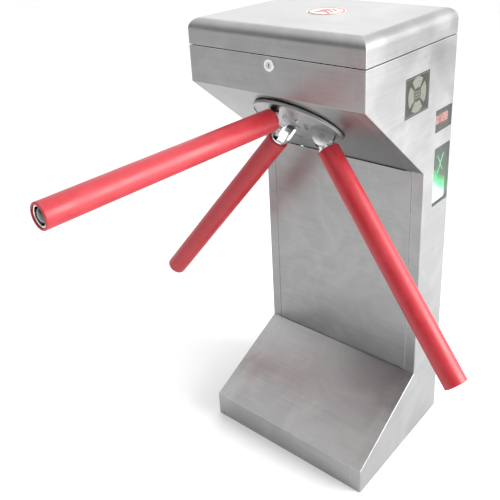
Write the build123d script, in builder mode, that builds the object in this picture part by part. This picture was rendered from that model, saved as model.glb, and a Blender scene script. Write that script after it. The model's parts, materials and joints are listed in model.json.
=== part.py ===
from build123d import *
import os
from math import acos, atan2, cos, degrees, pi, radians, sin, sqrt, tan

# Visitor counter turnstile: a folded stainless cabinet with a three-arm hub on its slanted underside.
# Frame: +Z up, the arms' side faces -Y, the reader's side faces +X.
# The origin is the centre of the cabinet's footprint, on the floor. Millimetres and degrees.

# ---------------------------------------------------------------- cabinet
cabinet_width = 420.0
cabinet_depth = 350.0
cabinet_height = 1000.0
skin = 1.5                     # sheet thickness of every panel
bend_radius = 2.0              # outer radius of the folded edges
flange_width = 25.0            # front and back flanges folded from the side panels
door_setback = 230.0           # front of the cabinet to the service panel
foot_skirt_height = 60.0
foot_top_height = 171.0
slant_angle = 40.0             # hub panel, from horizontal
fascia_height = 76.0
panel_seam = 0.4               # gap beside the fixed front panels
door_gap = 2.5                 # gap around the service panel
door_return = 12.0             # folded stiffeners behind the service panel
door_return_end = 24.0         # door's top and bottom to the stiffeners' ends
rail_lap = 16.0                # how far the front rails reach to either side of a seam
rail_thickness = 2.0
base_thickness = 6.0
weld_gap = 0.2                 # base plate to the sheets that it is welded to
anchor_spacing_x = 300.0
anchor_spacing_y = 230.0
anchor_hole_radius = 7.0
cable_hole_radius = 20.0
cable_hole_x = 90.0
cable_hole_y = 90.0
grommet_bore_radius = 16.0
screw_radius = 2.5
screw_head_radius = 4.5
screw_head_height = 2.4
screw_head_round = 1.2
screw_length = 9.0
screw_hole_clearance = 0.2
back_screw_rows = 4
back_screw_from_floor = 70.0
back_screw_from_top = 90.0
back_panel_clearance = 1.0     # around the loose back panel
vent_rows = 6
vent_pitch = 11.0
vent_slot_length = 150.0
vent_slot_width = 4.0
grommet_lip_width = 4.0
grommet_lip_height = 3.0
grommet_lift = 0.5             # floor to the grommet's lower end

# ---------------------------------------------------------------- lid
lid_height = 52.0
lid_gap = 2.0                  # gap between the lid and the cabinet
lid_roll_radius = 22.0         # rolled upper edges
badge_radius = 40.0
badge_thickness = 0.8
badge_y = 12.0
hinge_x = 130.0
hinge_knuckle_radius = 4.0
hinge_leaf_width = 50.0
hinge_leaf_height = 32.0
hinge_leaf_thickness = 2.0
hinge_middle_knuckle = 17.0
hinge_pin_radius = 1.6
hinge_clearance = 0.3
hinge_standoff = 0.5           # back of the cabinet to the knuckles
hinge_web = 6.0                # how far a knuckle's web runs down or up to its leaf
hinge_leaf_gap = 5.0           # hinge axis to the leaves' near edges
hinge_pin_end = 1.0            # the pin stands out of its knuckles
lid_leaf_height = 29.0

# ---------------------------------------------------------------- cam lock in the fascia
lock_drop = 17.0               # below the top of the fascia
lock_flange_radius = 12.0
lock_body_radius = 9.4
lock_barrel_radius = 7.0
lock_body_length = 22.0
lock_cam_length = 32.0
lock_cam_width = 12.0
lock_cam_thickness = 2.0
lock_nut_width = 24.0
lock_nut_thickness = 5.0
lock_flange_height = 2.0
lock_flange_round = 1.2
lock_barrel_height = 1.4       # barrel's face in front of the fascia
key_slot_width = 1.8
key_slot_height = 8.0
key_slot_depth = 5.0
lock_cam_gap = 0.5             # lock body to its cam
catch_width = 26.0
catch_offset = 31.0            # lock axis to the middle of the lid's catch
catch_gap = 1.0
catch_thickness = 2.0
catch_stand_off = 3.0          # cam to the catch's upright
running_gap = 0.05             # radial clearance of a pin or shaft in its bore

# ---------------------------------------------------------------- side windows
window_lip = 2.0
window_lip_thickness = 2.0
window_gap = 0.3
window_recess = 0.4
reader_width = 96.0
reader_height = 80.0
reader_from_back = 163.0
reader_drop = 88.0             # top of the cabinet body to the middle of the window
counter_width = 73.5
counter_height = 49.0
counter_from_back = 42.2
counter_drop = 168.5
indicator_width = 70.5
indicator_height = 135.0
indicator_from_back = 40.7
indicator_drop = 295.5
board_thickness = 1.6
reader_module_depth = 16.0
reader_module_margin = 4.0
board_margin = 3.0             # a board stops this far inside its window
counter_board_depth = 9.0      # pane to the counter's board
digit_count = 4
digit_pitch = 14.0
digit_width = 12.5
digit_height = 19.0
digit_thickness = 8.0
indicator_board_depth = 14.0
lamp_pitch = 16.0
lamp_columns = 4
lamp_rows = 7
lamp_radius = 2.5
lamp_height = 5.0

# ---------------------------------------------------------------- hub
hub_from_fascia = 113.4        # along the slant, from the fascia's lower edge
hub_rest_turn = 4.5            # the hub stands a little past its home position
hub_hole_radius = 35.0
disc_radius = 98.0
disc_thickness = 6.0
disc_standoff = 2.0
disc_lip_width = 3.5
disc_lip_height = 1.5
shaft_radius = 12.5
shaft_flange_radius = 31.0
hub_screw_circle = 21.0
hub_screw_count = 6
hub_screw_head_radius = 5.0
hub_screw_head_height = 2.5
hub_screw_key_radius = 2.6     # corners of the hexagon socket
hub_screw_key_depth = 1.8
disc_round = 1.4
rotor_gap = 6.0                # along the shaft between gear, cam and wheel

# ---------------------------------------------------------------- arms
arm_count = 3
arm_angle = 48.7               # between an arm and the hub's axis
pivot_radius = 58.0            # hub axis to an arm's pivot pin
pivot_height = 19.2            # slanted panel to an arm's pivot pin
pin_radius = 5.0
pin_head_radius = 6.5
pin_head_height = 1.5
lug_tip_radius = 18.5
lug_inner_radius = 31.0
lug_outer_radius = 81.0
lug_base_height = 5.0
tongue_thickness = 16.0
tongue_gap = 0.4
lug_thickness = 5.6
tongue_tip_radius = 10.5
tongue_root_width = 30.0
collar_start = 20.5            # pivot to the arm's collar
sleeve_start = 25.1            # pivot to the sleeve
sleeve_length = 500.0
sleeve_radius = 23.0
tube_radius = 19.0
tube_wall = 1.5
cap_inset = 3.0                # sleeve's end to the cap's flange
cap_flange = 2.0
cap_dome = 2.2
cap_plug_length = 14.0
collar_length = 8.0            # solid end of the tube beside the tongue
tongue_root_length = 6.0
tongue_root_lap = 1.0
sleeve_round = 1.8

# ---------------------------------------------------------------- mechanism behind the hub panel
plate_depth = 10.0             # slanted panel to the mechanism plate's near face
plate_thickness = 8.0
plate_length = 210.0           # along the slant
plate_width = 280.0
bracket_length = 140.0
bracket_leg = 95.0
bracket_height = 18.0
bracket_thickness = 3.0
bearing_outer_radius = 26.0
bearing_width = 15.0
housing_radius = 36.0
housing_flange_radius = 50.0
housing_length = 66.0
gear_module = 2.5
gear_teeth = 48
pinion_teeth = 16
gear_width = 10.0
gear_pressure_angle = 20.0
tooth_tip = 0.8                # above the pitch circle, in modules
tooth_root = 1.15              # below the pitch circle, in modules
tooth_share = 0.46             # of the pitch taken by a tooth, so that the pair has backlash
flank_steps = 4
mesh_clearance = 0.3
cam_radius = 46.0
cam_width = 8.0
cam_valley_radius = 16.0
cam_valley_offset = 4.0        # valley centres outside the cam's largest radius
roller_radius = 11.0
roller_gap = 0.4
lock_wheel_radius = 46.0
lock_wheel_width = 6.0
lock_slots = 12
lock_slot_width = 8.0
lock_slot_depth = 10.0
bolt_pin_radius = 3.4
bolt_rod_radius = 6.5
bolt_gap = 1.5                 # bolt's nose to the lock wheel's rim
bolt_travel = 8.0
bolt_angles = (150.0, 210.0)
solenoid_width = 34.0
solenoid_length = 48.0
solenoid_from_wheel = 14.0
solenoid_bore = 40.0
solenoid_foot_width = 24.0
solenoid_foot_thickness = 5.0
solenoid_foot_setback = 12.0
plunger_start = 2.0            # the thick rod stands this far out of its coil
damper_radius = 25.0
damper_flange_width = 4.0
damper_flange_thickness = 5.0
damper_cover = 6.0             # closed end behind the damper's shaft
damper_shaft_radius = 5.0
damper_to_pinion = 4.0
plate_hole_radius = 28.0
plate_shift = 5.0              # the plate's middle is lower than the hub
plate_bolt_x = 50.0
plate_bolt_y = 130.0
plate_bolt_radius = 4.0
plate_bolt_hole = 4.2
plate_bolt_head_radius = 6.5
plate_bolt_head_height = 4.5
plate_bolt_end = 9.0           # bolt's end behind its bracket
housing_mouth_gap = 2.5
housing_flange_thickness = 6.0
bearing_seat_wall = 8.0
bearing_end_wall = 2.0
bearing_shoulder = 3.0
bearing_race = 4.0
bearing_dish = 1.0             # the seals sit this far inside the races
lever_pivot = (60.0, -70.0)    # in the hub plane: up the slope, then across
lever_tail = (84.0, -72.0)
lever_pin_radius = 6.0
lever_thickness = 4.0
lever_gap = 0.5                # cam's back to the lever
lever_width = 12.0
lever_tail_width = 11.0
lever_roller_end = 9.0
lever_pivot_end = 11.0
lever_tail_end = 6.0
roller_pin_radius = 4.0
spring_post = (84.0, -118.0)
spring_post_radius = 3.0
spring_turns = 18
spring_wire = 1.6
coil_groove = 0.33             # depth of the groove between two turns, as a share of the pitch
spring_radius = 4.5
post_end = 2.0                 # the posts stand this far past the cam's back
pivot_end = 4.0
peg_seat = 1.0                 # how deep the pegs start inside the plate
sensor_angles = (30.0, 48.0)
sensor_width = 9.0
sensor_cheek = 2.5             # fork's wall on each side of the lock wheel
sensor_clearance = 1.5         # lock wheel to each wall
sensor_slot_depth = 9.0
sensor_overlap = 7.0           # how far the fork reaches over the lock wheel
sensor_fork_length = 27.0
sensor_foot_from_rim = 18.0
sensor_foot_thickness = 2.0

# ---------------------------------------------------------------- electronics
tray_width = 300.0
tray_height = 240.0
tray_drop = 60.0               # lower end of the slant to the tray's middle
tray_flange = 24.0
board_width = 200.0
board_height = 150.0
board_standoff = 8.0
standoff_radius = 3.5
standoff_margin = 8.0
supply_length = 130.0
supply_depth = 60.0
supply_height = 90.0
supply_x = -70.0
supply_corner = 2.0
supply_slots = 8
supply_slot_pitch = 12.0
supply_slot_length = 50.0
supply_slot_width = 4.0
supply_wall = 1.5

# ---------------------------------------------------------------- places worked out from the sizes
half_width = cabinet_width / 2
front_y = -cabinet_depth / 2
back_y = cabinet_depth / 2
door_y = front_y + door_setback
body_top = cabinet_height - lid_height - lid_gap
fascia_bottom = body_top - fascia_height
slant_bottom = fascia_bottom - door_setback * tan(radians(slant_angle))
seam_x = half_width - flange_width
inner_x = half_width - skin
lock_z = body_top - lock_drop

up_slope = Vector(0, -cos(radians(slant_angle)), sin(radians(slant_angle)))
outward = Vector(0, -sin(radians(slant_angle)), -cos(radians(slant_angle)))
hub_origin = Vector(0, front_y, fascia_bottom) - up_slope * hub_from_fascia
hub_plane = Plane(origin=hub_origin, x_dir=up_slope, z_dir=outward)
rest_direction = hub_plane.x_dir * cos(radians(hub_rest_turn))
rest_direction += hub_plane.y_dir * sin(radians(hub_rest_turn))
rotor_plane = Plane(origin=hub_origin, x_dir=rest_direction, z_dir=outward)
hub_axis = Axis(hub_origin, outward)
hub_section = Plane(origin=hub_origin, x_dir=up_slope, z_dir=up_slope.cross(outward))

outline = [
    (front_y, 0),
    (front_y, foot_skirt_height),
    (door_y, foot_top_height),
    (door_y, slant_bottom),
    (front_y, fascia_bottom),
    (front_y, body_top),
    (back_y, body_top),
    (back_y, 0),
]

os.makedirs("parts", exist_ok=True)


def save(shape, name):
    """Label a finished piece and write it as its own file."""
    shape.label = name
    export_step(shape, f"parts/{name}.step")


def inset_corner(index, distance):
    """The outline's corner moved inside the sheet by a distance, along the mitre."""
    here = outline[index]
    before = outline[index - 1]
    after = outline[(index + 1) % len(outline)]
    before_length = sqrt((here[0] - before[0]) ** 2 + (here[1] - before[1]) ** 2)
    after_length = sqrt((after[0] - here[0]) ** 2 + (after[1] - here[1]) ** 2)
    first = ((here[1] - before[1]) / before_length, -(here[0] - before[0]) / before_length)
    second = ((after[1] - here[1]) / after_length, -(after[0] - here[0]) / after_length)
    scale = distance / (1 + first[0] * second[0] + first[1] * second[1])
    return (here[0] + (first[0] + second[0]) * scale, here[1] + (first[1] + second[1]) * scale)


def face_of(plane, points):
    """A closed straight-sided profile on a plane."""
    with BuildSketch(plane) as profile:
        with BuildLine():
            Polyline(*points, close=True)
        make_face()
    return profile.sketch


def at_depth(depth):
    """The plane parallel to the hub panel, a distance inside the cabinet."""
    return hub_plane.offset(-depth)


# ================================================================ cabinet shell
windows = {
    "reader": (reader_from_back, reader_drop, reader_width, reader_height),
    "counter": (counter_from_back, counter_drop, counter_width, counter_height),
    "indicator": (indicator_from_back, indicator_drop, indicator_width, indicator_height),
}
screw_span = body_top - back_screw_from_floor - back_screw_from_top
screw_levels = [
    back_screw_from_floor + row * screw_span / (back_screw_rows - 1) for row in range(back_screw_rows)
]


def side_panel(side, window_names):
    """A side sheet with flanges folded along its whole outline, open at the floor."""
    seam_plane = Plane.YZ.offset(side * seam_x)
    with BuildPart() as panel:
        extrude(face_of(seam_plane, outline), amount=side * flange_width)
        with BuildSketch(seam_plane):
            add(face_of(Plane.XY, outline))
            offset(amount=-skin, kind=Kind.INTERSECTION)
            with Locations((0, skin)):
                Rectangle(cabinet_depth - 2 * skin, 4 * skin)
        extrude(amount=side * (flange_width - skin), mode=Mode.SUBTRACT)
        outer_face = panel.faces().sort_by(Axis.X)[-1 if side > 0 else 0]
        folds = outer_face.edges().filter_by(lambda e: e.center().Z > 1)
        fillet(folds, bend_radius)
        with BuildSketch(Plane.YZ.offset(side * half_width)):
            for name in window_names:
                from_back, drop, width, height = windows[name]
                with Locations((back_y - from_back, body_top - drop)):
                    Rectangle(width, height)
        extrude(amount=-side * skin, mode=Mode.SUBTRACT)
        with BuildSketch(Plane.XZ.offset(-back_y)):
            for level in screw_levels:
                with Locations((side * (half_width - flange_width / 2), level)):
                    Circle(screw_radius + screw_hole_clearance)
        extrude(amount=2 * skin, mode=Mode.SUBTRACT)
    return panel.part


save(side_panel(1, ["reader", "counter", "indicator"]), "side_panel_right")
save(side_panel(-1, ["indicator"]), "side_panel_left")


def front_strip(first, last, width):
    """The sheet along the outline from one corner to another, mitred at both ends."""
    corners = range(first, last + 1)
    points = [outline[i] for i in corners]
    points += [inset_corner(i, skin) for i in reversed(corners) if i > 0]
    if first == 0:
        points += [(front_y + skin, 0)]
    return extrude(face_of(Plane.YZ.offset(-width / 2), points), amount=width, mode=Mode.PRIVATE)


panel_width = 2 * (seam_x - panel_seam)

with BuildPart() as fascia_panel:
    add(front_strip(4, 5, panel_width))
    with BuildSketch(Plane.XZ.offset(-front_y)):
        with Locations((0, lock_z)):
            Circle(lock_body_radius + screw_hole_clearance)
    extrude(amount=-2 * skin, mode=Mode.SUBTRACT)
save(fascia_panel.part, "fascia_panel")

with BuildPart() as hub_panel:
    add(front_strip(3, 4, panel_width))
    with BuildSketch(hub_plane):
        Circle(hub_hole_radius)
    extrude(amount=-2 * skin, mode=Mode.SUBTRACT)
save(hub_panel.part, "hub_panel")

with BuildPart() as foot_panel:
    add(front_strip(0, 2, panel_width))
save(foot_panel.part, "foot_panel")

door_width = 2 * (seam_x - door_gap)
door_height = slant_bottom - foot_top_height - 2 * door_gap
door_middle = (slant_bottom + foot_top_height) / 2
with BuildPart() as service_panel:
    with BuildSketch(Plane.XZ.offset(-door_y)):
        with Locations((0, door_middle)):
            Rectangle(door_width, door_height)
    extrude(amount=-skin)
    with BuildSketch(Plane.XZ.offset(-door_y - skin)):
        for side in (1, -1):
            with Locations((side * (door_width / 2 - 2 * rail_lap), door_middle)):
                Rectangle(skin, door_height - 2 * door_return_end)
    extrude(amount=-door_return)
save(service_panel.part, "service_panel")

# Rails behind the front seams, which the front panels are fixed to.
rail_front = [(front_y + skin, base_thickness)]
rail_front += [inset_corner(i, skin) for i in range(1, 5)]
rail_front += [(front_y + skin, body_top - skin)]
rail_back = [(front_y + skin + rail_thickness, body_top - skin)]
rail_back += [inset_corner(i, skin + rail_thickness) for i in range(4, 0, -1)]
rail_back += [(front_y + skin + rail_thickness, base_thickness)]
with BuildPart() as front_rails:
    for side in (1, -1):
        extrude(
            face_of(Plane.YZ.offset(side * (seam_x - rail_lap)), rail_front + rail_back),
            amount=side * 2 * rail_lap,
        )
save(front_rails.part, "front_rails")

back_inner_y = back_y - skin
back_bottom = base_thickness + back_panel_clearance
back_height = body_top - 2 * skin - back_panel_clearance - back_bottom
back_middle = back_bottom + back_height / 2
with BuildPart() as back_panel:
    with BuildSketch(Plane.XZ.offset(-back_inner_y)):
        with Locations((0, back_middle)):
            Rectangle(2 * (inner_x - back_panel_clearance), back_height)
        for level in screw_levels:
            for side in (1, -1):
                with Locations((side * (half_width - flange_width / 2), level)):
                    Circle(screw_radius + screw_hole_clearance, mode=Mode.SUBTRACT)
        for group in (foot_top_height, slant_bottom):
            for row in range(vent_rows):
                with Locations((0, group + row * vent_pitch)):
                    SlotOverall(vent_slot_length, vent_slot_width, mode=Mode.SUBTRACT)
    extrude(amount=skin)
save(back_panel.part, "back_panel")

with BuildPart() as back_panel_screws:
    for level in screw_levels:
        for side in (1, -1):
            with BuildSketch(Plane.XZ.offset(-back_y)):
                with Locations((side * (half_width - flange_width / 2), level)):
                    Circle(screw_head_radius)
            extrude(amount=-screw_head_height)
    fillet(back_panel_screws.edges().group_by(Axis.Y)[-1], screw_head_round)
    with BuildSketch(Plane.XZ.offset(-back_y)):
        for level in screw_levels:
            for side in (1, -1):
                with Locations((side * (half_width - flange_width / 2), level)):
                    Circle(screw_radius)
    extrude(amount=screw_length)
save(back_panel_screws.part, "back_panel_screws")

base_front = front_y + skin + panel_seam
base_back = back_y - skin
base_middle = (base_front + base_back) / 2
base_half_width = inner_x - weld_gap
with BuildPart() as base_plate:
    with BuildSketch(Plane.XY):
        with Locations((0, base_middle)):
            Rectangle(2 * base_half_width, base_back - base_front)
        with GridLocations(anchor_spacing_x, anchor_spacing_y, 2, 2):
            Circle(anchor_hole_radius, mode=Mode.SUBTRACT)
        with Locations((cable_hole_x, cable_hole_y)):
            Circle(cable_hole_radius, mode=Mode.SUBTRACT)
    extrude(amount=base_thickness)
save(base_plate.part, "base_plate")

with BuildPart() as cable_grommet:
    grommet_section = Plane(origin=(cable_hole_x, cable_hole_y, 0), x_dir=(1, 0, 0), z_dir=(0, -1, 0))
    grommet_lip = cable_hole_radius + grommet_lip_width
    revolve(
        face_of(grommet_section, [
            (grommet_bore_radius, grommet_lift),
            (cable_hole_radius, grommet_lift),
            (cable_hole_radius, base_thickness),
            (grommet_lip, base_thickness),
            (grommet_lip, base_thickness + grommet_lip_height),
            (grommet_bore_radius, base_thickness + grommet_lip_height),
        ]),
        axis=Axis((cable_hole_x, cable_hole_y, 0), (0, 0, 1)),
    )
save(cable_grommet.part, "cable_grommet")


# ================================================================ lid
def lid_block(inset, roll):
    """The lid's solid form: a block whose four upper edges are rolled and mitred."""
    bottom = cabinet_height - lid_height
    top = cabinet_height - inset
    across = half_width - inset
    along = back_y - inset
    with BuildPart(mode=Mode.PRIVATE) as block:
        with BuildSketch(Plane.XZ) as front_view:
            with Locations((0, (bottom + top) / 2)):
                Rectangle(2 * across, top - bottom)
            fillet(front_view.vertices().group_by(Axis.Y)[-1], roll)
        extrude(amount=cabinet_depth, both=True)
        with BuildSketch(Plane.YZ) as side_view:
            with Locations((0, (bottom + top) / 2)):
                Rectangle(2 * along, top - bottom)
            fillet(side_view.vertices().group_by(Axis.Y)[-1], roll)
        extrude(amount=cabinet_width, both=True, mode=Mode.INTERSECT)
    return block.part


with BuildPart() as lid:
    add(lid_block(0, lid_roll_radius))
    corner_edges = lid.edges().filter_by(lambda e: abs(e.center().X) > half_width - lid_roll_radius)
    corner_edges = corner_edges.filter_by(lambda e: abs(e.center().Y) > back_y - lid_roll_radius)
    fillet(corner_edges.filter_by(Axis.Z), bend_radius)
    add(lid_block(skin, lid_roll_radius - skin), mode=Mode.SUBTRACT)
save(lid.part, "lid")

with BuildPart() as lid_badge:
    with BuildSketch(Plane.XY.offset(cabinet_height)):
        with Locations((0, badge_y)):
            Circle(badge_radius)
    extrude(amount=badge_thickness)
save(lid_badge.part, "lid_badge")

hinge_axis_y = back_y + hinge_knuckle_radius + hinge_standoff
hinge_axis_z = body_top + lid_gap / 2
hinge_side_knuckle = (hinge_leaf_width - hinge_middle_knuckle) / 2 - hinge_clearance


def knuckle(x_start, length, bore, toward, leaf_y):
    """One hinge knuckle with the web that joins it to its leaf."""
    plane = Plane.YZ.offset(x_start)
    with BuildPart(mode=Mode.PRIVATE) as piece:
        with BuildSketch(plane):
            with Locations((hinge_axis_y, hinge_axis_z)):
                Circle(hinge_knuckle_radius)
            web_middle = hinge_axis_z + toward * hinge_web / 2
            with Locations(((leaf_y + hinge_axis_y) / 2, web_middle)):
                Rectangle(hinge_axis_y - leaf_y, hinge_web)
            with Locations((hinge_axis_y, hinge_axis_z)):
                Circle(bore, mode=Mode.SUBTRACT)
        extrude(amount=length)
    return piece.part


with BuildPart() as hinge_body_leaves:
    for centre in (-hinge_x, hinge_x):
        for side in (1, -1):
            edge = centre + side * (hinge_middle_knuckle / 2 + hinge_clearance)
            start = edge if side > 0 else edge - hinge_side_knuckle
            add(knuckle(start, hinge_side_knuckle, hinge_pin_radius, -1, back_inner_y))
        with BuildSketch(Plane.XZ.offset(-back_inner_y)):
            with Locations((centre, hinge_axis_z - hinge_leaf_gap - hinge_leaf_height / 2)):
                Rectangle(hinge_leaf_width, hinge_leaf_height)
        extrude(amount=-hinge_leaf_thickness)
save(hinge_body_leaves.part, "hinge_body_leaves")

with BuildPart() as hinge_lid_leaves:
    for centre in (-hinge_x, hinge_x):
        start = centre - hinge_middle_knuckle / 2
        add(knuckle(start, hinge_middle_knuckle, hinge_pin_radius + running_gap, 1, back_y))
        with BuildSketch(Plane.XZ.offset(-back_y)):
            with Locations((centre, hinge_axis_z + hinge_leaf_gap + lid_leaf_height / 2)):
                Rectangle(hinge_leaf_width, lid_leaf_height)
        extrude(amount=-hinge_leaf_thickness)
save(hinge_lid_leaves.part, "hinge_lid_leaves")

with BuildPart() as hinge_pins:
    with BuildSketch(Plane.YZ):
        with Locations((hinge_axis_y, hinge_axis_z)):
            Circle(hinge_pin_radius)
    extrude(amount=hinge_leaf_width / 2 + hinge_pin_end, both=True)
    one_pin = hinge_pins.part
with BuildPart() as both_hinge_pins:
    for centre in (-hinge_x, hinge_x):
        add(Pos(centre, 0, 0) * one_pin)
save(both_hinge_pins.part, "hinge_pins")

# ================================================================ cam lock and the lid's catch
lock_centre = (0, lock_z)
lock_front = Plane.XZ.offset(-front_y)

with BuildPart() as lock_body:
    with BuildSketch(lock_front):
        with Locations(lock_centre):
            Circle(lock_flange_radius)
    extrude(amount=lock_flange_height)
    fillet(lock_body.edges().group_by(Axis.Y)[0], lock_flange_round)
    with BuildSketch(lock_front):
        with Locations(lock_centre):
            Circle(lock_body_radius)
    extrude(amount=-lock_body_length)
    with BuildSketch(Plane.XZ.offset(-front_y - skin)):
        with Locations(lock_centre):
            RegularPolygon(lock_nut_width / 2, 6, major_radius=False)
    extrude(amount=-lock_nut_thickness)
    with BuildSketch(lock_front):
        with Locations(lock_centre):
            Circle(lock_barrel_radius + running_gap)
    extrude(amount=2 * lock_body_length, both=True, mode=Mode.SUBTRACT)
save(lock_body.part, "lock_body")

with BuildPart() as lock_barrel:
    with BuildSketch(lock_front.offset(lock_barrel_height)):
        with Locations(lock_centre):
            Circle(lock_barrel_radius)
    extrude(amount=-lock_body_length - lock_barrel_height - lock_cam_gap)
    with BuildSketch(lock_front.offset(lock_barrel_height)):
        with Locations(lock_centre):
            Rectangle(key_slot_width, key_slot_height)
    extrude(amount=-key_slot_depth, mode=Mode.SUBTRACT)
save(lock_barrel.part, "lock_barrel")

lock_cam_y = front_y + lock_body_length + lock_cam_gap
with BuildPart() as lock_cam:
    with BuildSketch(Plane.XZ.offset(-lock_cam_y)):
        with Locations(lock_centre):
            Circle(lock_cam_width / 2)
        with Locations((0, lock_z + lock_cam_length / 2)):
            Rectangle(lock_cam_width, lock_cam_length)
    extrude(amount=-lock_cam_thickness)
save(lock_cam.part, "lock_cam")

catch_top = lock_z - lock_cam_width / 2 - catch_gap
catch_bottom = catch_top - catch_thickness
catch_y = lock_cam_y + lock_cam_thickness + catch_stand_off
catch_front = lock_cam_y - catch_thickness
lid_underside = cabinet_height - skin
with BuildPart() as lid_catch:
    with BuildSketch(Plane.XZ.offset(-catch_y)):
        with Locations((catch_offset, (catch_bottom + lid_underside) / 2)):
            Rectangle(catch_width, lid_underside - catch_bottom)
    extrude(amount=-catch_thickness)
    with BuildSketch(Plane.XY.offset(catch_bottom)):
        with Locations((catch_offset, (catch_front + catch_y) / 2)):
            Rectangle(catch_width, catch_y - catch_front)
    extrude(amount=catch_thickness)
save(lid_catch.part, "lid_catch")


# ================================================================ side windows and what is behind them
def window_pane(name, side):
    """A pane that fills its opening, with a lip bonded behind the sheet."""
    from_back, drop, width, height = windows[name]
    centre = (back_y - from_back, body_top - drop)
    with BuildPart(mode=Mode.PRIVATE) as pane:
        with BuildSketch(Plane.YZ.offset(side * inner_x)):
            with Locations(centre):
                Rectangle(width - 2 * window_gap, height - 2 * window_gap)
        extrude(amount=side * (skin - window_recess))
        with BuildSketch(Plane.YZ.offset(side * inner_x)):
            with Locations(centre):
                Rectangle(width + 2 * window_lip, height + 2 * window_lip)
        extrude(amount=-side * window_lip_thickness)
    return pane.part


def board_behind(name, side, distance, thickness, margin):
    """A flat board behind a window, smaller than it by a margin."""
    from_back, drop, width, height = windows[name]
    with BuildPart(mode=Mode.PRIVATE) as board:
        with BuildSketch(Plane.YZ.offset(side * (inner_x - window_lip_thickness - distance))):
            with Locations((back_y - from_back, body_top - drop)):
                Rectangle(width - 2 * margin, height - 2 * margin)
        extrude(amount=-side * thickness)
    return board.part


save(window_pane("reader", 1), "reader_window")
save(window_pane("counter", 1), "counter_window")
with BuildPart() as indicator_windows:
    add(window_pane("indicator", 1))
    add(window_pane("indicator", -1))
save(indicator_windows.part, "indicator_windows")

with BuildPart() as reader_module:
    add(board_behind("reader", 1, 0, reader_module_depth, reader_module_margin))
save(reader_module.part, "reader_module")

with BuildPart() as counter_board:
    add(board_behind("counter", 1, counter_board_depth, board_thickness, board_margin))
    from_back, drop, width, height = windows["counter"]
    with BuildSketch(Plane.YZ.offset(inner_x - window_lip_thickness - counter_board_depth)):
        with Locations((back_y - from_back, body_top - drop)):
            with GridLocations(digit_pitch, digit_height, digit_count, 1):
                Rectangle(digit_width, digit_height)
    extrude(amount=digit_thickness)
save(counter_board.part, "counter_board")

with BuildPart() as indicator_boards:
    for side in (1, -1):
        add(board_behind("indicator", side, indicator_board_depth, board_thickness, board_margin))
        from_back, drop, width, height = windows["indicator"]
        board_face = inner_x - window_lip_thickness - indicator_board_depth
        with BuildSketch(Plane.YZ.offset(side * board_face)):
            with Locations((back_y - from_back, body_top - drop)):
                with GridLocations(lamp_pitch, lamp_pitch, lamp_columns, lamp_rows):
                    Circle(lamp_radius)
        extrude(amount=side * lamp_height)
save(indicator_boards.part, "indicator_boards")

# ================================================================ rotor: shaft, disc, lugs, cam, wheel, gear
plate_back = plate_depth + plate_thickness
gear_depth = plate_back + housing_length + rotor_gap
cam_depth = gear_depth + gear_width + rotor_gap
wheel_depth = cam_depth + cam_width + rotor_gap
shaft_end = wheel_depth + lock_wheel_width + rotor_gap
disc_back = disc_standoff
disc_face = disc_standoff + disc_thickness

with BuildPart() as main_shaft:
    revolve(
        face_of(hub_section, [
            (0, disc_back),
            (shaft_flange_radius, disc_back),
            (shaft_flange_radius, disc_back - plate_depth),
            (shaft_radius, disc_back - plate_depth),
            (shaft_radius, -shaft_end),
            (0, -shaft_end),
        ]),
        axis=hub_axis,
    )
save(main_shaft.part, "main_shaft")

with BuildPart() as hub_disc:
    with BuildSketch(rotor_plane.offset(disc_back)):
        Circle(disc_radius)
    extrude(amount=disc_thickness + disc_lip_height)
    with BuildSketch(rotor_plane.offset(disc_face)):
        Circle(disc_radius - disc_lip_width)
    extrude(amount=disc_lip_height, mode=Mode.SUBTRACT)
    rim_edges = hub_disc.edges().filter_by(GeomType.CIRCLE)
    rim_edges = rim_edges.filter_by(lambda e: e.radius > disc_radius - 0.1)
    fillet(rim_edges, disc_round)
save(hub_disc.part, "hub_disc")

hub_screw_start = 180 / hub_screw_count
with BuildPart() as hub_screws:
    with BuildSketch(rotor_plane.offset(disc_face)):
        with PolarLocations(hub_screw_circle, hub_screw_count, start_angle=hub_screw_start):
            Circle(hub_screw_head_radius)
    extrude(amount=hub_screw_head_height)
    with BuildSketch(rotor_plane.offset(disc_face + hub_screw_head_height)):
        with PolarLocations(hub_screw_circle, hub_screw_count, start_angle=hub_screw_start):
            RegularPolygon(hub_screw_key_radius, 6)
    extrude(amount=-hub_screw_key_depth, mode=Mode.SUBTRACT)
save(hub_screws.part, "hub_screws")


def arm_direction(index):
    """Unit vectors of one arm: radial in the hub's plane, tangential, and along the arm."""
    angle = radians(index * 360 / arm_count)
    radial = rotor_plane.x_dir * cos(angle) + rotor_plane.y_dir * sin(angle)
    tangent = rotor_plane.y_dir * cos(angle) - rotor_plane.x_dir * sin(angle)
    along = outward * cos(radians(arm_angle)) + radial * sin(radians(arm_angle))
    return radial, tangent, along


def pivot_point(index):
    """The middle of one arm's pivot pin."""
    return hub_origin + arm_direction(index)[0] * pivot_radius + outward * pivot_height


lug_middle = (lug_inner_radius + lug_outer_radius) / 2


def lug_profile(plane):
    """A lug's outline: a wide foot on the disc drawn in to a round end about the pivot."""
    with BuildSketch(plane) as profile:
        with Locations((pivot_radius, pivot_height)):
            Circle(lug_tip_radius)
        with Locations((lug_middle, disc_face + lug_base_height / 2)):
            Rectangle(lug_outer_radius - lug_inner_radius, lug_base_height)
        make_hull()
        with Locations((lug_middle, disc_face)):
            Rectangle(4 * lug_outer_radius, 2 * lug_tip_radius, align=(Align.CENTER, Align.MAX),
                      mode=Mode.SUBTRACT)
        with Locations((pivot_radius, pivot_height)):
            Circle(pin_radius, mode=Mode.SUBTRACT)
    return profile.sketch


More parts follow.
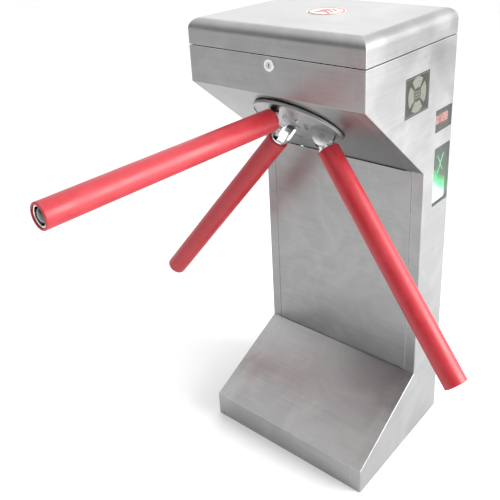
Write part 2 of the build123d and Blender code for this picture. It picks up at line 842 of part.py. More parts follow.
with BuildPart() as hub_lugs:
    for index in range(arm_count):
        radial, tangent, along = arm_direction(index)
        lug_plane = Plane(origin=hub_origin, x_dir=radial, z_dir=-tangent)
        lug_start = tongue_thickness / 2 + tongue_gap
        extrude(lug_profile(lug_plane.offset(lug_start)), amount=lug_thickness)
        extrude(lug_profile(lug_plane.offset(-lug_start)), amount=-lug_thickness)
save(hub_lugs.part, "hub_lugs")

with BuildPart() as arm_pivots:
    for index in range(arm_count):
        radial, tangent, along = arm_direction(index)
        pin_plane = Plane(origin=pivot_point(index), x_dir=along, z_dir=tangent)
        pin_half = tongue_thickness / 2 + tongue_gap + lug_thickness
        with BuildSketch(pin_plane):
            Circle(pin_radius)
        extrude(amount=pin_half, both=True)
        for side in (1, -1):
            with BuildSketch(pin_plane.offset(side * pin_half)):
                Circle(pin_head_radius)
            extrude(amount=side * pin_head_height)
save(arm_pivots.part, "arm_pivots")

with BuildPart() as index_cam:
    with BuildSketch(rotor_plane.offset(-cam_depth)):
        Circle(cam_radius)
        with PolarLocations(cam_radius + cam_valley_offset, arm_count, start_angle=-90):
            Circle(cam_valley_radius, mode=Mode.SUBTRACT)
        Circle(shaft_radius, mode=Mode.SUBTRACT)
    extrude(amount=-cam_width)
save(index_cam.part, "index_cam")

with BuildPart() as lock_wheel:
    with BuildSketch(at_depth(wheel_depth)):
        Circle(lock_wheel_radius)
        with PolarLocations(lock_wheel_radius, lock_slots):
            Rectangle(2 * lock_slot_depth, lock_slot_width, mode=Mode.SUBTRACT)
        Circle(shaft_radius, mode=Mode.SUBTRACT)
    extrude(amount=-lock_wheel_width)
save(lock_wheel.part, "lock_wheel")


def gear_outline(teeth, phase):
    """Corner points of a spur gear with involute flanks."""
    pitch_radius = gear_module * teeth / 2
    pressure = radians(gear_pressure_angle)
    base_radius = pitch_radius * cos(pressure)
    tip_radius = pitch_radius + tooth_tip * gear_module
    root_radius = pitch_radius - tooth_root * gear_module
    start_radius = max(base_radius, root_radius)
    flank = [root_radius] if root_radius < start_radius else []
    rise = (tip_radius - start_radius) / (flank_steps - 1)
    flank += [start_radius + rise * step for step in range(flank_steps)]
    points = []
    for tooth in range(teeth):
        middle = phase + 2 * pi * tooth / teeth
        half_angles = []
        for radius in flank:
            roll = acos(min(1.0, base_radius / radius))
            opening = tan(pressure) - pressure - (tan(roll) - roll)
            half_angles.append(tooth_share * pi / teeth + opening)
        for radius, half in zip(flank, half_angles):
            points.append((radius * cos(middle - half), radius * sin(middle - half)))
        for radius, half in zip(reversed(flank), reversed(half_angles)):
            points.append((radius * cos(middle + half), radius * sin(middle + half)))
    return points


with BuildPart() as damper_gear:
    extrude(face_of(at_depth(gear_depth), gear_outline(gear_teeth, pi / gear_teeth)), amount=-gear_width)
    with BuildSketch(at_depth(gear_depth)):
        Circle(shaft_radius)
    extrude(amount=-gear_width, mode=Mode.SUBTRACT)
save(damper_gear.part, "damper_gear")

# ================================================================ rotary damper
damper_distance = gear_module * (gear_teeth + pinion_teeth) / 2 + mesh_clearance
damper_centre = hub_origin + hub_plane.y_dir * damper_distance
damper_axis = Axis(damper_centre, outward)
damper_section = Plane(origin=damper_centre, x_dir=up_slope, z_dir=up_slope.cross(outward))
damper_end = gear_depth - damper_to_pinion

with BuildPart() as damper_body:
    revolve(
        face_of(damper_section, [
            (damper_shaft_radius + running_gap, -plate_back - damper_cover),
            (0, -plate_back - damper_cover),
            (0, -plate_back),
            (damper_radius + damper_flange_width, -plate_back),
            (damper_radius + damper_flange_width, -plate_back - damper_flange_thickness),
            (damper_radius, -plate_back - damper_flange_thickness),
            (damper_radius, -damper_end),
            (damper_shaft_radius + running_gap, -damper_end),
        ]),
        axis=damper_axis,
    )
save(damper_body.part, "damper_body")

pinion_plane = Plane(origin=damper_centre, x_dir=up_slope, z_dir=outward).offset(-gear_depth)
with BuildPart() as damper_pinion:
    extrude(face_of(pinion_plane, gear_outline(pinion_teeth, 0)), amount=-gear_width)
    with BuildSketch(pinion_plane):
        Circle(damper_shaft_radius)
    extrude(amount=gear_depth - plate_back - damper_cover - peg_seat)
save(damper_pinion.part, "damper_pinion")

# ================================================================ mechanism plate, brackets and bearings
cam_back = cam_depth + cam_width

with BuildPart() as mech_plate:
    with BuildSketch(at_depth(plate_depth)):
        with Locations((-plate_shift, 0)):
            Rectangle(plate_length, plate_width)
        Circle(plate_hole_radius, mode=Mode.SUBTRACT)
        with GridLocations(2 * plate_bolt_x, 2 * plate_bolt_y, 2, 2):
            Circle(plate_bolt_hole, mode=Mode.SUBTRACT)
    extrude(amount=-plate_thickness)
    with BuildSketch(at_depth(plate_depth + peg_seat)):
        with Locations(lever_pivot):
            Circle(lever_pin_radius)
    extrude(amount=-(cam_back + pivot_end - plate_depth - peg_seat))
    with BuildSketch(at_depth(plate_depth + peg_seat)):
        with Locations(spring_post):
            Circle(spring_post_radius)
    extrude(amount=-(cam_back + post_end - plate_depth - peg_seat))
save(mech_plate.part, "mech_plate")

with BuildPart() as mech_brackets:
    for side in (1, -1):
        with BuildSketch(at_depth(plate_back)):
            with Locations((0, side * (inner_x - bracket_leg / 2))):
                Rectangle(bracket_length, bracket_leg)
            with Locations((plate_bolt_x, side * plate_bolt_y), (-plate_bolt_x, side * plate_bolt_y)):
                Circle(plate_bolt_hole, mode=Mode.SUBTRACT)
        extrude(amount=-bracket_thickness)
        with BuildSketch(at_depth(plate_back)):
            with Locations((0, side * (inner_x - bracket_thickness / 2))):
                Rectangle(bracket_length, bracket_thickness)
        extrude(amount=-bracket_height)
save(mech_brackets.part, "mech_brackets")

with BuildPart() as mech_plate_bolts:
    with BuildSketch(at_depth(plate_depth)):
        with GridLocations(2 * plate_bolt_x, 2 * plate_bolt_y, 2, 2):
            RegularPolygon(plate_bolt_head_radius, 6, major_radius=False)
    extrude(amount=plate_bolt_head_height)
    with BuildSketch(at_depth(plate_depth)):
        with GridLocations(2 * plate_bolt_x, 2 * plate_bolt_y, 2, 2):
            Circle(plate_bolt_radius)
    extrude(amount=-(plate_thickness + bracket_thickness + plate_bolt_end))
save(mech_plate_bolts.part, "mech_plate_bolts")

front_bearing = plate_back + bearing_seat_wall
rear_bearing = plate_back + housing_length - bearing_end_wall - bearing_width
housing_mouth = shaft_radius + housing_mouth_gap
seat_shoulder = bearing_outer_radius - bearing_shoulder
housing_end = plate_back + housing_length
housing_flange_back = plate_back + housing_flange_thickness
with BuildPart() as bearing_housing:
    revolve(
        face_of(hub_section, [
            (housing_mouth, -plate_back),
            (housing_flange_radius, -plate_back),
            (housing_flange_radius, -housing_flange_back),
            (housing_radius, -housing_flange_back),
            (housing_radius, -housing_end),
            (bearing_outer_radius, -housing_end),
            (bearing_outer_radius, -rear_bearing),
            (seat_shoulder, -rear_bearing),
            (seat_shoulder, -front_bearing - bearing_width),
            (bearing_outer_radius, -front_bearing - bearing_width),
            (bearing_outer_radius, -front_bearing),
            (housing_mouth, -front_bearing),
        ]),
        axis=hub_axis,
    )
save(bearing_housing.part, "bearing_housing")

inner_race = shaft_radius + bearing_race
outer_race = bearing_outer_radius - bearing_race
with BuildPart() as shaft_bearings:
    for start in (front_bearing, rear_bearing):
        end = start + bearing_width
        revolve(
            face_of(hub_section, [
                (shaft_radius + running_gap, -start),
                (inner_race, -start),
                (inner_race, -start - bearing_dish),
                (outer_race, -start - bearing_dish),
                (outer_race, -start),
                (bearing_outer_radius, -start),
                (bearing_outer_radius, -end),
                (outer_race, -end),
                (outer_race, -end + bearing_dish),
                (inner_race, -end + bearing_dish),
                (inner_race, -end),
                (shaft_radius + running_gap, -end),
            ]),
            axis=hub_axis,
        )
save(shaft_bearings.part, "shaft_bearings")

# ================================================================ roller lever and its spring
roller_centre = (0.0, -(cam_radius + roller_radius + roller_gap))
lever_back = cam_back + lever_gap


def flat_link(start, end, width):
    """Draw a bar between two points of the lever in the open sketch."""
    across = end[0] - start[0]
    up = end[1] - start[1]
    with Locations(((start[0] + end[0]) / 2, (start[1] + end[1]) / 2)):
        Rectangle(sqrt(across ** 2 + up ** 2), width, rotation=degrees(atan2(up, across)))


with BuildPart() as roller_lever:
    with BuildSketch(at_depth(lever_back)):
        with Locations(roller_centre):
            Circle(lever_roller_end)
        with Locations(lever_pivot):
            Circle(lever_pivot_end)
        with Locations(lever_tail):
            Circle(lever_tail_end)
        flat_link(roller_centre, lever_pivot, lever_width)
        flat_link(lever_pivot, lever_tail, lever_tail_width)
    extrude(amount=-lever_thickness)
    with BuildSketch(at_depth(cam_depth + lever_gap)):
        with Locations(roller_centre):
            Circle(roller_pin_radius)
    extrude(amount=-cam_width)
    with BuildSketch(at_depth(lever_back - lever_thickness)):
        with Locations(lever_tail):
            Circle(spring_post_radius)
    extrude(amount=-lever_thickness)
    with BuildSketch(at_depth(plate_depth)):
        with Locations(lever_pivot):
            Circle(lever_pin_radius + running_gap)
    extrude(amount=-2 * cam_back, mode=Mode.SUBTRACT)
save(roller_lever.part, "roller_lever")

with BuildPart() as cam_roller:
    with BuildSketch(at_depth(cam_depth + lever_gap)):
        with Locations(roller_centre):
            Circle(roller_radius)
            Circle(roller_pin_radius + running_gap, mode=Mode.SUBTRACT)
    extrude(amount=-(cam_width - 2 * lever_gap))
save(cam_roller.part, "cam_roller")

spring_level = cam_back - spring_radius + post_end - lever_gap
spring_eye_radius = spring_post_radius + running_gap + spring_wire
spring_neck = lever_tail_end + lever_gap
spring_length = abs(spring_post[1] - lever_tail[1]) - 2 * spring_neck
spring_start = hub_plane.from_local_coords((lever_tail[0], lever_tail[1] - spring_neck, -spring_level))
spring_along = hub_plane.y_dir * -1
spring_section = Plane(origin=spring_start, x_dir=up_slope, z_dir=up_slope.cross(spring_along))
coil_pitch = spring_length / spring_turns
with BuildPart() as lever_spring:
    with BuildSketch(spring_section):
        with Locations((spring_radius / 2, spring_length / 2)):
            Rectangle(spring_radius, spring_length)
        with Locations(*[(spring_radius, coil_pitch * turn) for turn in range(spring_turns + 1)]):
            Circle(coil_groove * coil_pitch, mode=Mode.SUBTRACT)
    revolve(axis=Axis(spring_start, spring_along))
    with BuildSketch(at_depth(spring_level - spring_wire / 2)):
        for post, toward in ((lever_tail, -1), (spring_post, 1)):
            with Locations(post):
                Circle(spring_eye_radius)
            with Locations((post[0], post[1] + toward * spring_neck / 2)):
                Rectangle(spring_wire, spring_neck + spring_wire)
        with Locations(lever_tail, spring_post):
            Circle(spring_post_radius + running_gap, mode=Mode.SUBTRACT)
    extrude(amount=-spring_wire)
save(lever_spring.part, "lever_spring")

# ================================================================ lock bolts and their solenoids
bolt_depth = wheel_depth + lock_wheel_width / 2
solenoid_start = lock_wheel_radius + solenoid_from_wheel


def bolt_plane(angle):
    """Cross-section plane of a lock bolt at the hub axis, facing outwards along the bolt."""
    direction = hub_plane.x_dir * cos(radians(angle)) + hub_plane.y_dir * sin(radians(angle))
    return Plane(origin=hub_origin - outward * bolt_depth, x_dir=outward, z_dir=direction)


def lock_bolt(angle):
    """A solenoid plunger with the round nose that enters the lock wheel."""
    plane = bolt_plane(angle)
    nose = lock_wheel_radius + bolt_gap
    with BuildPart(mode=Mode.PRIVATE) as bolt:
        with BuildSketch(plane.offset(nose)):
            Circle(bolt_pin_radius)
        extrude(amount=solenoid_start - nose)
        with BuildSketch(plane.offset(solenoid_start - plunger_start)):
            Circle(bolt_rod_radius)
        extrude(amount=solenoid_bore + plunger_start - bolt_travel)
    return bolt.part


save(lock_bolt(bolt_angles[0]), "lock_bolt_left")
save(lock_bolt(bolt_angles[1]), "lock_bolt_right")

with BuildPart() as solenoids:
    for angle in bolt_angles:
        plane = bolt_plane(angle)
        with BuildSketch(plane.offset(solenoid_start)):
            Rectangle(solenoid_width, solenoid_width)
        extrude(amount=solenoid_length)
        with BuildSketch(plane.offset(solenoid_start + solenoid_foot_setback)):
            with Locations(((bolt_depth - plate_back) / 2, 0)):
                Rectangle(bolt_depth - plate_back, solenoid_foot_width)
        extrude(amount=solenoid_foot_thickness)
        with BuildSketch(plane.offset(solenoid_start)):
            Circle(bolt_rod_radius + running_gap)
        extrude(amount=solenoid_bore, mode=Mode.SUBTRACT)
save(solenoids.part, "solenoids")

# ================================================================ optical sensors at the lock wheel's rim
sensor_start = lock_wheel_radius - sensor_overlap
sensor_slot_width = lock_wheel_width + 2 * sensor_clearance
with BuildPart() as optical_sensors:
    for angle in sensor_angles:
        sensor_plane = bolt_plane(angle)
        with BuildSketch(sensor_plane.offset(sensor_start)):
            Rectangle(sensor_slot_width + 2 * sensor_cheek, sensor_width)
        extrude(amount=sensor_fork_length)
        with BuildSketch(sensor_plane.offset(sensor_start)):
            Rectangle(sensor_slot_width, sensor_width)
        extrude(amount=sensor_slot_depth, mode=Mode.SUBTRACT)
        with BuildSketch(sensor_plane.offset(lock_wheel_radius + sensor_foot_from_rim)):
            with Locations(((bolt_depth - plate_back) / 2, 0)):
                Rectangle(bolt_depth - plate_back, sensor_width)
        extrude(amount=sensor_foot_thickness)
save(optical_sensors.part, "optical_sensors")


# ================================================================ arms
def arm_plane(index):
    """Cross-section plane of an arm at its pivot."""
    radial, tangent, along = arm_direction(index)
    return Plane(origin=pivot_point(index), x_dir=tangent, z_dir=along)


tube_end = sleeve_start + sleeve_length - cap_inset - cap_flange


def arm_tube(index):
    """The tongue that turns on the pivot pin, its collar and the tube."""
    radial, tangent, along = arm_direction(index)
    side_view = Plane(origin=pivot_point(index), x_dir=along, z_dir=tangent)
    plane = arm_plane(index)
    with BuildPart() as arm:
        with BuildSketch(side_view):
            Circle(tongue_tip_radius)
            with Locations((collar_start - tongue_root_lap, 0)):
                Rectangle(tongue_root_length, tongue_root_width)
            make_hull()
        extrude(amount=tongue_thickness / 2, both=True)
        with BuildSketch(plane.offset(collar_start)):
            Circle(tube_radius)
        extrude(amount=collar_length)
        with BuildSketch(plane.offset(collar_start + collar_length)):
            Circle(tube_radius)
            Circle(tube_radius - tube_wall, mode=Mode.SUBTRACT)
        extrude(amount=tube_end - collar_start - collar_length)
        with BuildSketch(side_view):
            Circle(pin_radius + running_gap)
        extrude(amount=tongue_thickness, both=True, mode=Mode.SUBTRACT)
    return arm.part


def arm_sleeve(index):
    """The red sleeve over the tube."""
    with BuildPart() as sleeve:
        with BuildSketch(arm_plane(index).offset(sleeve_start)):
            Circle(sleeve_radius)
            Circle(tube_radius, mode=Mode.SUBTRACT)
        extrude(amount=sleeve_length)
        outer_edges = sleeve.edges().filter_by(GeomType.CIRCLE)
        outer_edges = outer_edges.filter_by(lambda e: e.radius > sleeve_radius - 0.1)
        fillet(outer_edges, sleeve_round)
    return sleeve.part


def arm_cap(index):
    """The domed plug in the tube's open end."""
    radial, tangent, along = arm_direction(index)
    section = Plane(origin=pivot_point(index), x_dir=tangent, z_dir=tangent.cross(along))
    plug_radius = tube_radius - tube_wall
    rim = tube_end + cap_flange
    with BuildPart() as cap:
        with BuildSketch(section):
            with BuildLine():
                Polyline(
                    (0, rim + cap_dome),
                    (0, tube_end - cap_plug_length),
                    (plug_radius, tube_end - cap_plug_length),
                    (plug_radius, tube_end),
                    (tube_radius, tube_end),
                    (tube_radius, rim),
                )
                Bezier((tube_radius, rim), (tube_radius / 2, rim + cap_dome), (0, rim + cap_dome))
            make_face()
        revolve(axis=Axis(pivot_point(index), along))
    return cap.part


for index in range(arm_count):
    save(arm_tube(index), f"arm_{index + 1}_tube")
    save(arm_sleeve(index), f"arm_{index + 1}_sleeve")
    save(arm_cap(index), f"arm_{index + 1}_cap")

# ================================================================ electronics
tray_middle = slant_bottom - tray_drop
tray_y = back_inner_y - skin - tray_flange
with BuildPart() as board_tray:
    with BuildSketch(Plane.XZ.offset(-tray_y)):
        with Locations((0, tray_middle)):
            Rectangle(tray_width, tray_height)
    extrude(amount=-skin)
    with BuildSketch(Plane.XZ.offset(-tray_y)):
        for side in (1, -1):
            with Locations((side * (tray_width - skin) / 2, tray_middle)):
                Rectangle(skin, tray_height)
    extrude(amount=-tray_flange)
save(board_tray.part, "board_tray")

board_plane = Plane.XZ.offset(-tray_y + board_standoff)
# Parts on the board: (across, up, width, height, depth), from the board's middle.
terminal_blocks = [(36 * column - 72, 58, 28, 14, 12) for column in range(5)]
relays = [(35 * column - 55, -10, 24, 30, 12) for column in range(3)]
processor = [(62, -20, 34, 34, 4)]
capacitor_radius = 7.0
capacitor_places = [(-70, -55), (-50, -55)]
capacitor_height = 18.0
with BuildPart() as control_board:
    with BuildSketch(board_plane):
        with Locations((0, tray_middle)):
            Rectangle(board_width, board_height)
    extrude(amount=board_thickness)
    with BuildSketch(board_plane):
        with Locations((0, tray_middle)):
            with GridLocations(board_width - 2 * standoff_margin, board_height - 2 * standoff_margin, 2, 2):
                Circle(standoff_radius)
    extrude(amount=-board_standoff)
    for across, up, width, height, depth in terminal_blocks + relays + processor:
        with BuildSketch(board_plane.offset(board_thickness)):
            with Locations((across, tray_middle + up)):
                Rectangle(width, height)
        extrude(amount=depth)
    with BuildSketch(board_plane.offset(board_thickness)):
        for across, up in capacitor_places:
            with Locations((across, tray_middle + up)):
                Circle(capacitor_radius)
    extrude(amount=capacitor_height)
save(control_board.part, "control_board")

with BuildPart() as power_supply:
    with BuildSketch(Plane.XY.offset(base_thickness)):
        with Locations((supply_x, cable_hole_y)):
            Rectangle(supply_length, supply_depth)
    extrude(amount=supply_height)
    fillet(power_supply.edges().filter_by(Axis.Z), supply_corner)
    with BuildSketch(Plane.XZ.offset(-(cable_hole_y - supply_depth / 2))):
        with Locations((supply_x, base_thickness + supply_height / 2)):
            with GridLocations(supply_slot_pitch, supply_slot_pitch, supply_slots, 1):
                SlotOverall(supply_slot_length, supply_slot_width, rotation=90)
    extrude(amount=-supply_wall, mode=Mode.SUBTRACT)
save(power_supply.part, "power_supply")
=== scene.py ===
import json
from math import cos, pi, radians, sin

import bmesh
import bpy
from mathutils import Matrix, Vector


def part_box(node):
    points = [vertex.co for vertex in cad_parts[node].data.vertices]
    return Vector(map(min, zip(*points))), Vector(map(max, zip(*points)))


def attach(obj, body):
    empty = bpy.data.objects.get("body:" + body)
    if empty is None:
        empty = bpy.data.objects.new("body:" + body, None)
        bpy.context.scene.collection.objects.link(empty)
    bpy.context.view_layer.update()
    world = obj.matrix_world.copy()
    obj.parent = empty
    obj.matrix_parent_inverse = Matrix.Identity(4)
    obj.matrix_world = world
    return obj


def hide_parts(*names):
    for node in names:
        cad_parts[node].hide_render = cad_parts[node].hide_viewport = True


# Visitor counter turnstile: finishes for the folded cabinet, its hub, arms and mechanism, and the
# pieces that the drawing leaves to the workshop: the rubber sleeves and end caps, the lid's badge,
# and the printed and lit marks at the side windows. Metres, Z up.

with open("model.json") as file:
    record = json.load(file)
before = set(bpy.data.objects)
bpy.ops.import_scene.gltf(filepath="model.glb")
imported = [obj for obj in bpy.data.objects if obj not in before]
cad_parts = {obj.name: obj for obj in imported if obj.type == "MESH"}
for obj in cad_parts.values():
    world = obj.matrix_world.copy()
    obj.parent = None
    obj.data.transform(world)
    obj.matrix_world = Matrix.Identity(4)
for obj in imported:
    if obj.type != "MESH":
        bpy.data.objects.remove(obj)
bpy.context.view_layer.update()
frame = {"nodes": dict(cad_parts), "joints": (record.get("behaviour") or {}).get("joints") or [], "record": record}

joints = {joint["name"]: joint for joint in frame["joints"]}
hub_middle = Vector(joints["hub_turn"]["pos_m"])
hub_axis = Vector(joints["hub_turn"]["axis"])
first_pivot = Vector(joints["arm_1_drop"]["pos_m"])

# ---------------------------------------------------------------- shaping
FACING = 0.9                   # a face looks along an axis when its normal's share is over this
NEAR = 0.0001                  # heights and radii closer than this are the same
WELD = 0.000001
ROUND_SIDES = 96
ARC_STEPS = 14
LIP_STEPS = 4
SHARP_FROM = 40                # degrees between faces that stay a sharp corner
SHARP_FROM_FLAT = 20
SHARP_FROM_DOME = 50
SHARP_FROM_LENS = 60

# ---------------------------------------------------------------- arms
ARM_BODIES = ("arm_1", "hub", "hub")
SLEEVE_WALL = 0.004
SLEEVE_ROUND = 0.0018
SLEEVE_SIDES = 72
SLEEVE_LENGTHS = 24
SWELL = 0.0004
SWELL_SIZE = 0.05
SWELL_MIDDLE = 0.75
CAP_RIM_SHARE = 0.2            # of the cap's radius taken by its bright rim
CAP_ROLL_SHARE = 0.3           # of the rim's width taken by its rolled edge
CAP_RIM_BACK = 0.3             # rim's end, as a share of the way from the cap's end to the tube's
CAP_SEAT = 0.003               # the rim reaches this far into the sleeve
DOME_STEPS = 7
DOME_RISE_SHARE = 0.55

# ---------------------------------------------------------------- lid badge
BADGE_RING_WIDTH = 0.0034
BADGE_RING_INSET = 0.0022
BADGE_RING_ROOT = 0.00005
BADGE_BASE_SHARE = 0.6
BADGE_LIP = 0.0008
BADGE_DIP = 0.0001
CHEVRONS = 3
CHEVRON_WIDTH_SHARE = 0.9      # these four are shares of the badge's radius
CHEVRON_BAR_SHARE = 0.16
CHEVRON_RISE_SHARE = 0.34
CHEVRON_PITCH_SHARE = 0.34
CHEVRON_MIDDLE = 1.3

# ---------------------------------------------------------------- marks and lamps at the windows
PRINT_THICKNESS = 0.00012
FAN_RIBS = 5
FAN_RIB_WIDTH = 0.0029
FAN_RIB_PITCH = 0.0042
FAN_FIRST_RADIUS = 0.0150
FAN_SWEEP = radians(74)
CARD_WIDTH = 0.020
CARD_HEIGHT = 0.013
CARD_LINE = 0.0011
STRIPE_LENGTH = 0.013
STRIPE_WIDTH = 0.0018
BORDER_INSET = 0.005
BORDER_LINE = 0.0007
DIGIT_HEIGHT = 0.0150
DIGIT_WIDTH = 0.0084
DIGIT_PITCH = 0.014
DIGIT_BAR = 0.0020
DIGIT_GAP_SHARE = 0.2
DIGIT_THICKNESS = 0.0004
BAR_POINT_SHARE = 0.12
FILM_THICKNESS = 0.00012
FILM_WIDTH_SHARE = 1.25        # these three are shares of a digit's width or height
FILM_HEIGHT_SHARE = 1.3
FILM_BORDER_SHARE = 0.6
LAMP_PITCH = 0.016
LAMP_ROWS = 7
LIT_ROWS = 4
LAMP_COLUMNS = 4
LAMP_RADIUS = 0.0034
LAMP_SIDES = 12
LAMP_COLLAR = 0.002
LAMP_LENS = ((0.0014, 0.82), (0.0009, 0.6))        # rise and narrowing of each step
LAMP_TOP = 0.0033              # highest point of a lens above the lamp's middle
PIPE_LENGTH = 0.046
PIPE_WIDTH = 0.0012
PIPE_LIFT = 0.0085             # lamps' seat to the pipes' crossing
PIPE_ROWS_UP = 1.6
PIPE_SPREAD_SHARE = 0.6
PIPE_LEAN = radians(58)
GUIDE_WIDTH = 0.062
GUIDE_HEIGHT = 0.126
GUIDE_THICKNESS = 0.0012
GUIDE_GAP = 0.002              # lamps to the guide plate
GUIDE_CORNER_SHARE = 0.08
GUIDE_CORNER_STEPS = 6
GUIDE_RAISE_SHARE = 0.2

# ---------------------------------------------------------------- studio
FLOOR_SIZE = 60
SKY_BRIGHT_WAY = (0.1, 0.62, 0.72)
SKY_SHADES = [(0.1, 0.10), (0.4, 0.32), (0.62, 0.85), (0.95, 1.0)]
SKY_STRENGTH = 1.4


# ================================================================ node helpers
def feed(tree, sockets, inputs):
    """Gives each named socket a value, or links another node's output to it."""
    for name, value in inputs.items():
        if isinstance(value, bpy.types.NodeSocket):
            tree.links.new(value, sockets[name])
        else:
            sockets[name].default_value = value


def node(tree, kind, inputs=None, **settings):
    """Adds a shader node, sets its options and feeds its inputs."""
    made = tree.nodes.new(kind)
    for name, value in settings.items():
        setattr(made, name, value)
    feed(tree, made.inputs, inputs or {})
    return made


def ramp(tree, value, stops):
    """A colour ramp through (position, brightness or colour) stops."""
    made = node(tree, "ShaderNodeValToRGB", {"Fac": value})
    points = made.color_ramp.elements
    while len(points) < len(stops):
        points.new(0.5)
    for point, (position, shade) in zip(points, stops):
        point.position = position
        point.color = (*shade, 1) if isinstance(shade, tuple) else (shade, shade, shade, 1)
    return made.outputs["Color"]


def spread(tree, value, low, high, start=0.0, end=1.0):
    """Spreads a value that runs from start to end over a new range."""
    made = node(tree, "ShaderNodeMapRange", {"Value": value, "From Min": start, "From Max": end,
                                            "To Min": low, "To Max": high})
    return made.outputs["Result"]


def noise(tree, where, scale, detail, roughness=0.5, distortion=0.0):
    """Cloudy variation between 0 and 1."""
    made = node(tree, "ShaderNodeTexNoise",
                {"Vector": where, "Scale": scale, "Detail": detail, "Roughness": roughness,
                 "Distortion": distortion})
    return made.outputs["Fac"]


def blend(tree, share, first, second):
    """Mixes two colours by a share."""
    made = node(tree, "ShaderNodeMix", {0: share, 6: first, 7: second}, data_type="RGBA")
    return made.outputs[2]


def combine(tree, operation, first, second):
    """One arithmetic step on two values."""
    made = node(tree, "ShaderNodeMath", {0: first, 1: second}, operation=operation)
    return made.outputs[0]


def colour(red, green, blue):
    return (red, green, blue, 1.0)


def effect(name, inputs, outputs):
    """Starts a shader node group with named inputs and outputs."""
    group = bpy.data.node_groups.new(name, "ShaderNodeTree")
    for title, kind, value in inputs:
        socket = group.interface.new_socket(title, in_out="INPUT", socket_type="NodeSocket" + kind)
        if value is not None:
            socket.default_value = value
    for title, kind in outputs:
        group.interface.new_socket(title, in_out="OUTPUT", socket_type="NodeSocket" + kind)
    return group, node(group, "NodeGroupInput").outputs, node(group, "NodeGroupOutput").inputs


def use(tree, group, inputs):
    """Places an effect in a material."""
    return node(tree, "ShaderNodeGroup", inputs, node_tree=group).outputs


# ================================================================ shared effects
def make_brushed_grain():
    """Long scratches of the sanding belt, along X, or along Y on faces that look sideways."""
    group, given, result = effect(
        "brushed grain",
        [("Vector", "Vector", None), ("Normal", "Vector", None), ("Fine", "Float", 900.0),
         ("Length", "Float", 5.0)],
        [("Lines", "Float"), ("Streaks", "Float"), ("Clouds", "Float")],
    )
    facing = node(group, "ShaderNodeSeparateXYZ", {0: given["Normal"]}).outputs
    sideways = combine(group, "GREATER_THAN", combine(group, "ABSOLUTE", facing["X"], 0), 0.7)
    length = given["Length"]
    for title, share in (("Lines", 1.0), ("Streaks", 0.16)):
        fine = combine(group, "MULTIPLY", given["Fine"], share)
        across = node(group, "ShaderNodeCombineXYZ", {"X": length, "Y": fine, "Z": fine})
        along = node(group, "ShaderNodeCombineXYZ", {"X": length, "Y": length, "Z": fine})
        scale = node(group, "ShaderNodeMix",
                     {0: sideways, 4: across.outputs[0], 5: along.outputs[0]}, data_type="VECTOR")
        stretched = node(group, "ShaderNodeVectorMath", {0: given["Vector"], 1: scale.outputs[1]},
                         operation="MULTIPLY")
        scratches = noise(group, stretched.outputs[0], 1.0, 3.0, 0.6)
        group.links.new(scratches, result[title])
    clouds = noise(group, given["Vector"], 6.5, 4.0, 0.55, 0.4)
    group.links.new(spread(group, clouds, -0.6, 1.6), result["Clouds"])
    return group


def make_edge_rub():
    """A mask that is bright along rubbed outer edges."""
    group, given, result = effect(
        "edge rub",
        [("Vector", "Vector", None), ("Width", "Float", 0.0012), ("Breakup", "Float", 90.0)],
        [("Mask", "Float")],
    )
    rounded = node(group, "ShaderNodeBevel", {"Radius": given["Width"]}, samples=4)
    flat = node(group, "ShaderNodeNewGeometry")
    meeting = node(group, "ShaderNodeVectorMath",
                   {0: rounded.outputs["Normal"], 1: flat.outputs["Normal"]},
                   operation="DOT_PRODUCT")
    edge = combine(group, "SUBTRACT", 1.0, meeting.outputs["Value"])
    speckle = noise(group, given["Vector"], given["Breakup"], 3.0)
    broken = combine(group, "MULTIPLY", edge, spread(group, speckle, 1.0, 6.0))
    limited = node(group, "ShaderNodeClamp", {"Value": broken})
    group.links.new(limited.outputs[0], result["Mask"])
    return group


def make_smudges():
    """Finger marks and wiped dust: soft patches and a few short hairlines."""
    group, given, result = effect(
        "smudges",
        [("Vector", "Vector", None), ("Patch", "Float", 9.0), ("Hair", "Float", 120.0)],
        [("Patches", "Float"), ("Hairlines", "Float")],
    )
    patch = noise(group, given["Vector"], given["Patch"], 5.0, 0.6, 1.2)
    hair = node(group, "ShaderNodeTexVoronoi", {"Vector": given["Vector"], "Scale": given["Hair"]},
                feature="DISTANCE_TO_EDGE")
    thin = ramp(group, hair.outputs["Distance"], [(0.0, 1.0), (0.012, 0.0)])
    wiped = ramp(group, patch, [(0.42, 0.0), (0.68, 1.0)])
    group.links.new(wiped, result["Patches"])
    group.links.new(combine(group, "MULTIPLY", thin, patch), result["Hairlines"])
    return group


def make_grit():
    """Fine even grit of moulded, cast and printed surfaces."""
    group, given, result = effect(
        "grit", [("Vector", "Vector", None), ("Scale", "Float", 900.0)],
        [("Value", "Float"), ("Coarse", "Float")],
    )
    fine = noise(group, given["Vector"], given["Scale"], 2.0)
    coarse = noise(group, given["Vector"], combine(group, "MULTIPLY", given["Scale"], 0.05), 4.0)
    group.links.new(fine, result["Value"])
    group.links.new(coarse, result["Coarse"])
    return group


BRUSHED_GRAIN = make_brushed_grain()
EDGE_RUB = make_edge_rub()
SMUDGES = make_smudges()
GRIT = make_grit()


# ================================================================ finishes
def start_finish(name, **constants):
    """A new material with its shader's constants set, and the places its patterns follow."""
    finish = bpy.data.materials.new(name)
    finish.use_nodes = True
    tree = finish.node_tree
    shader = tree.nodes["Principled BSDF"]
    for title, value in constants.items():
        shader.inputs[title.replace("_", " ")].default_value = value
    place = node(tree, "ShaderNodeTexCoord").outputs
    return finish, tree, shader.inputs, place


def bump(tree, shader, height, distance, strength=1.0):
    """Feeds a height to the shader's normal."""
    made = node(tree, "ShaderNodeBump",
                {"Height": height, "Distance": distance, "Strength": strength})
    tree.links.new(made.outputs["Normal"], shader["Normal"])


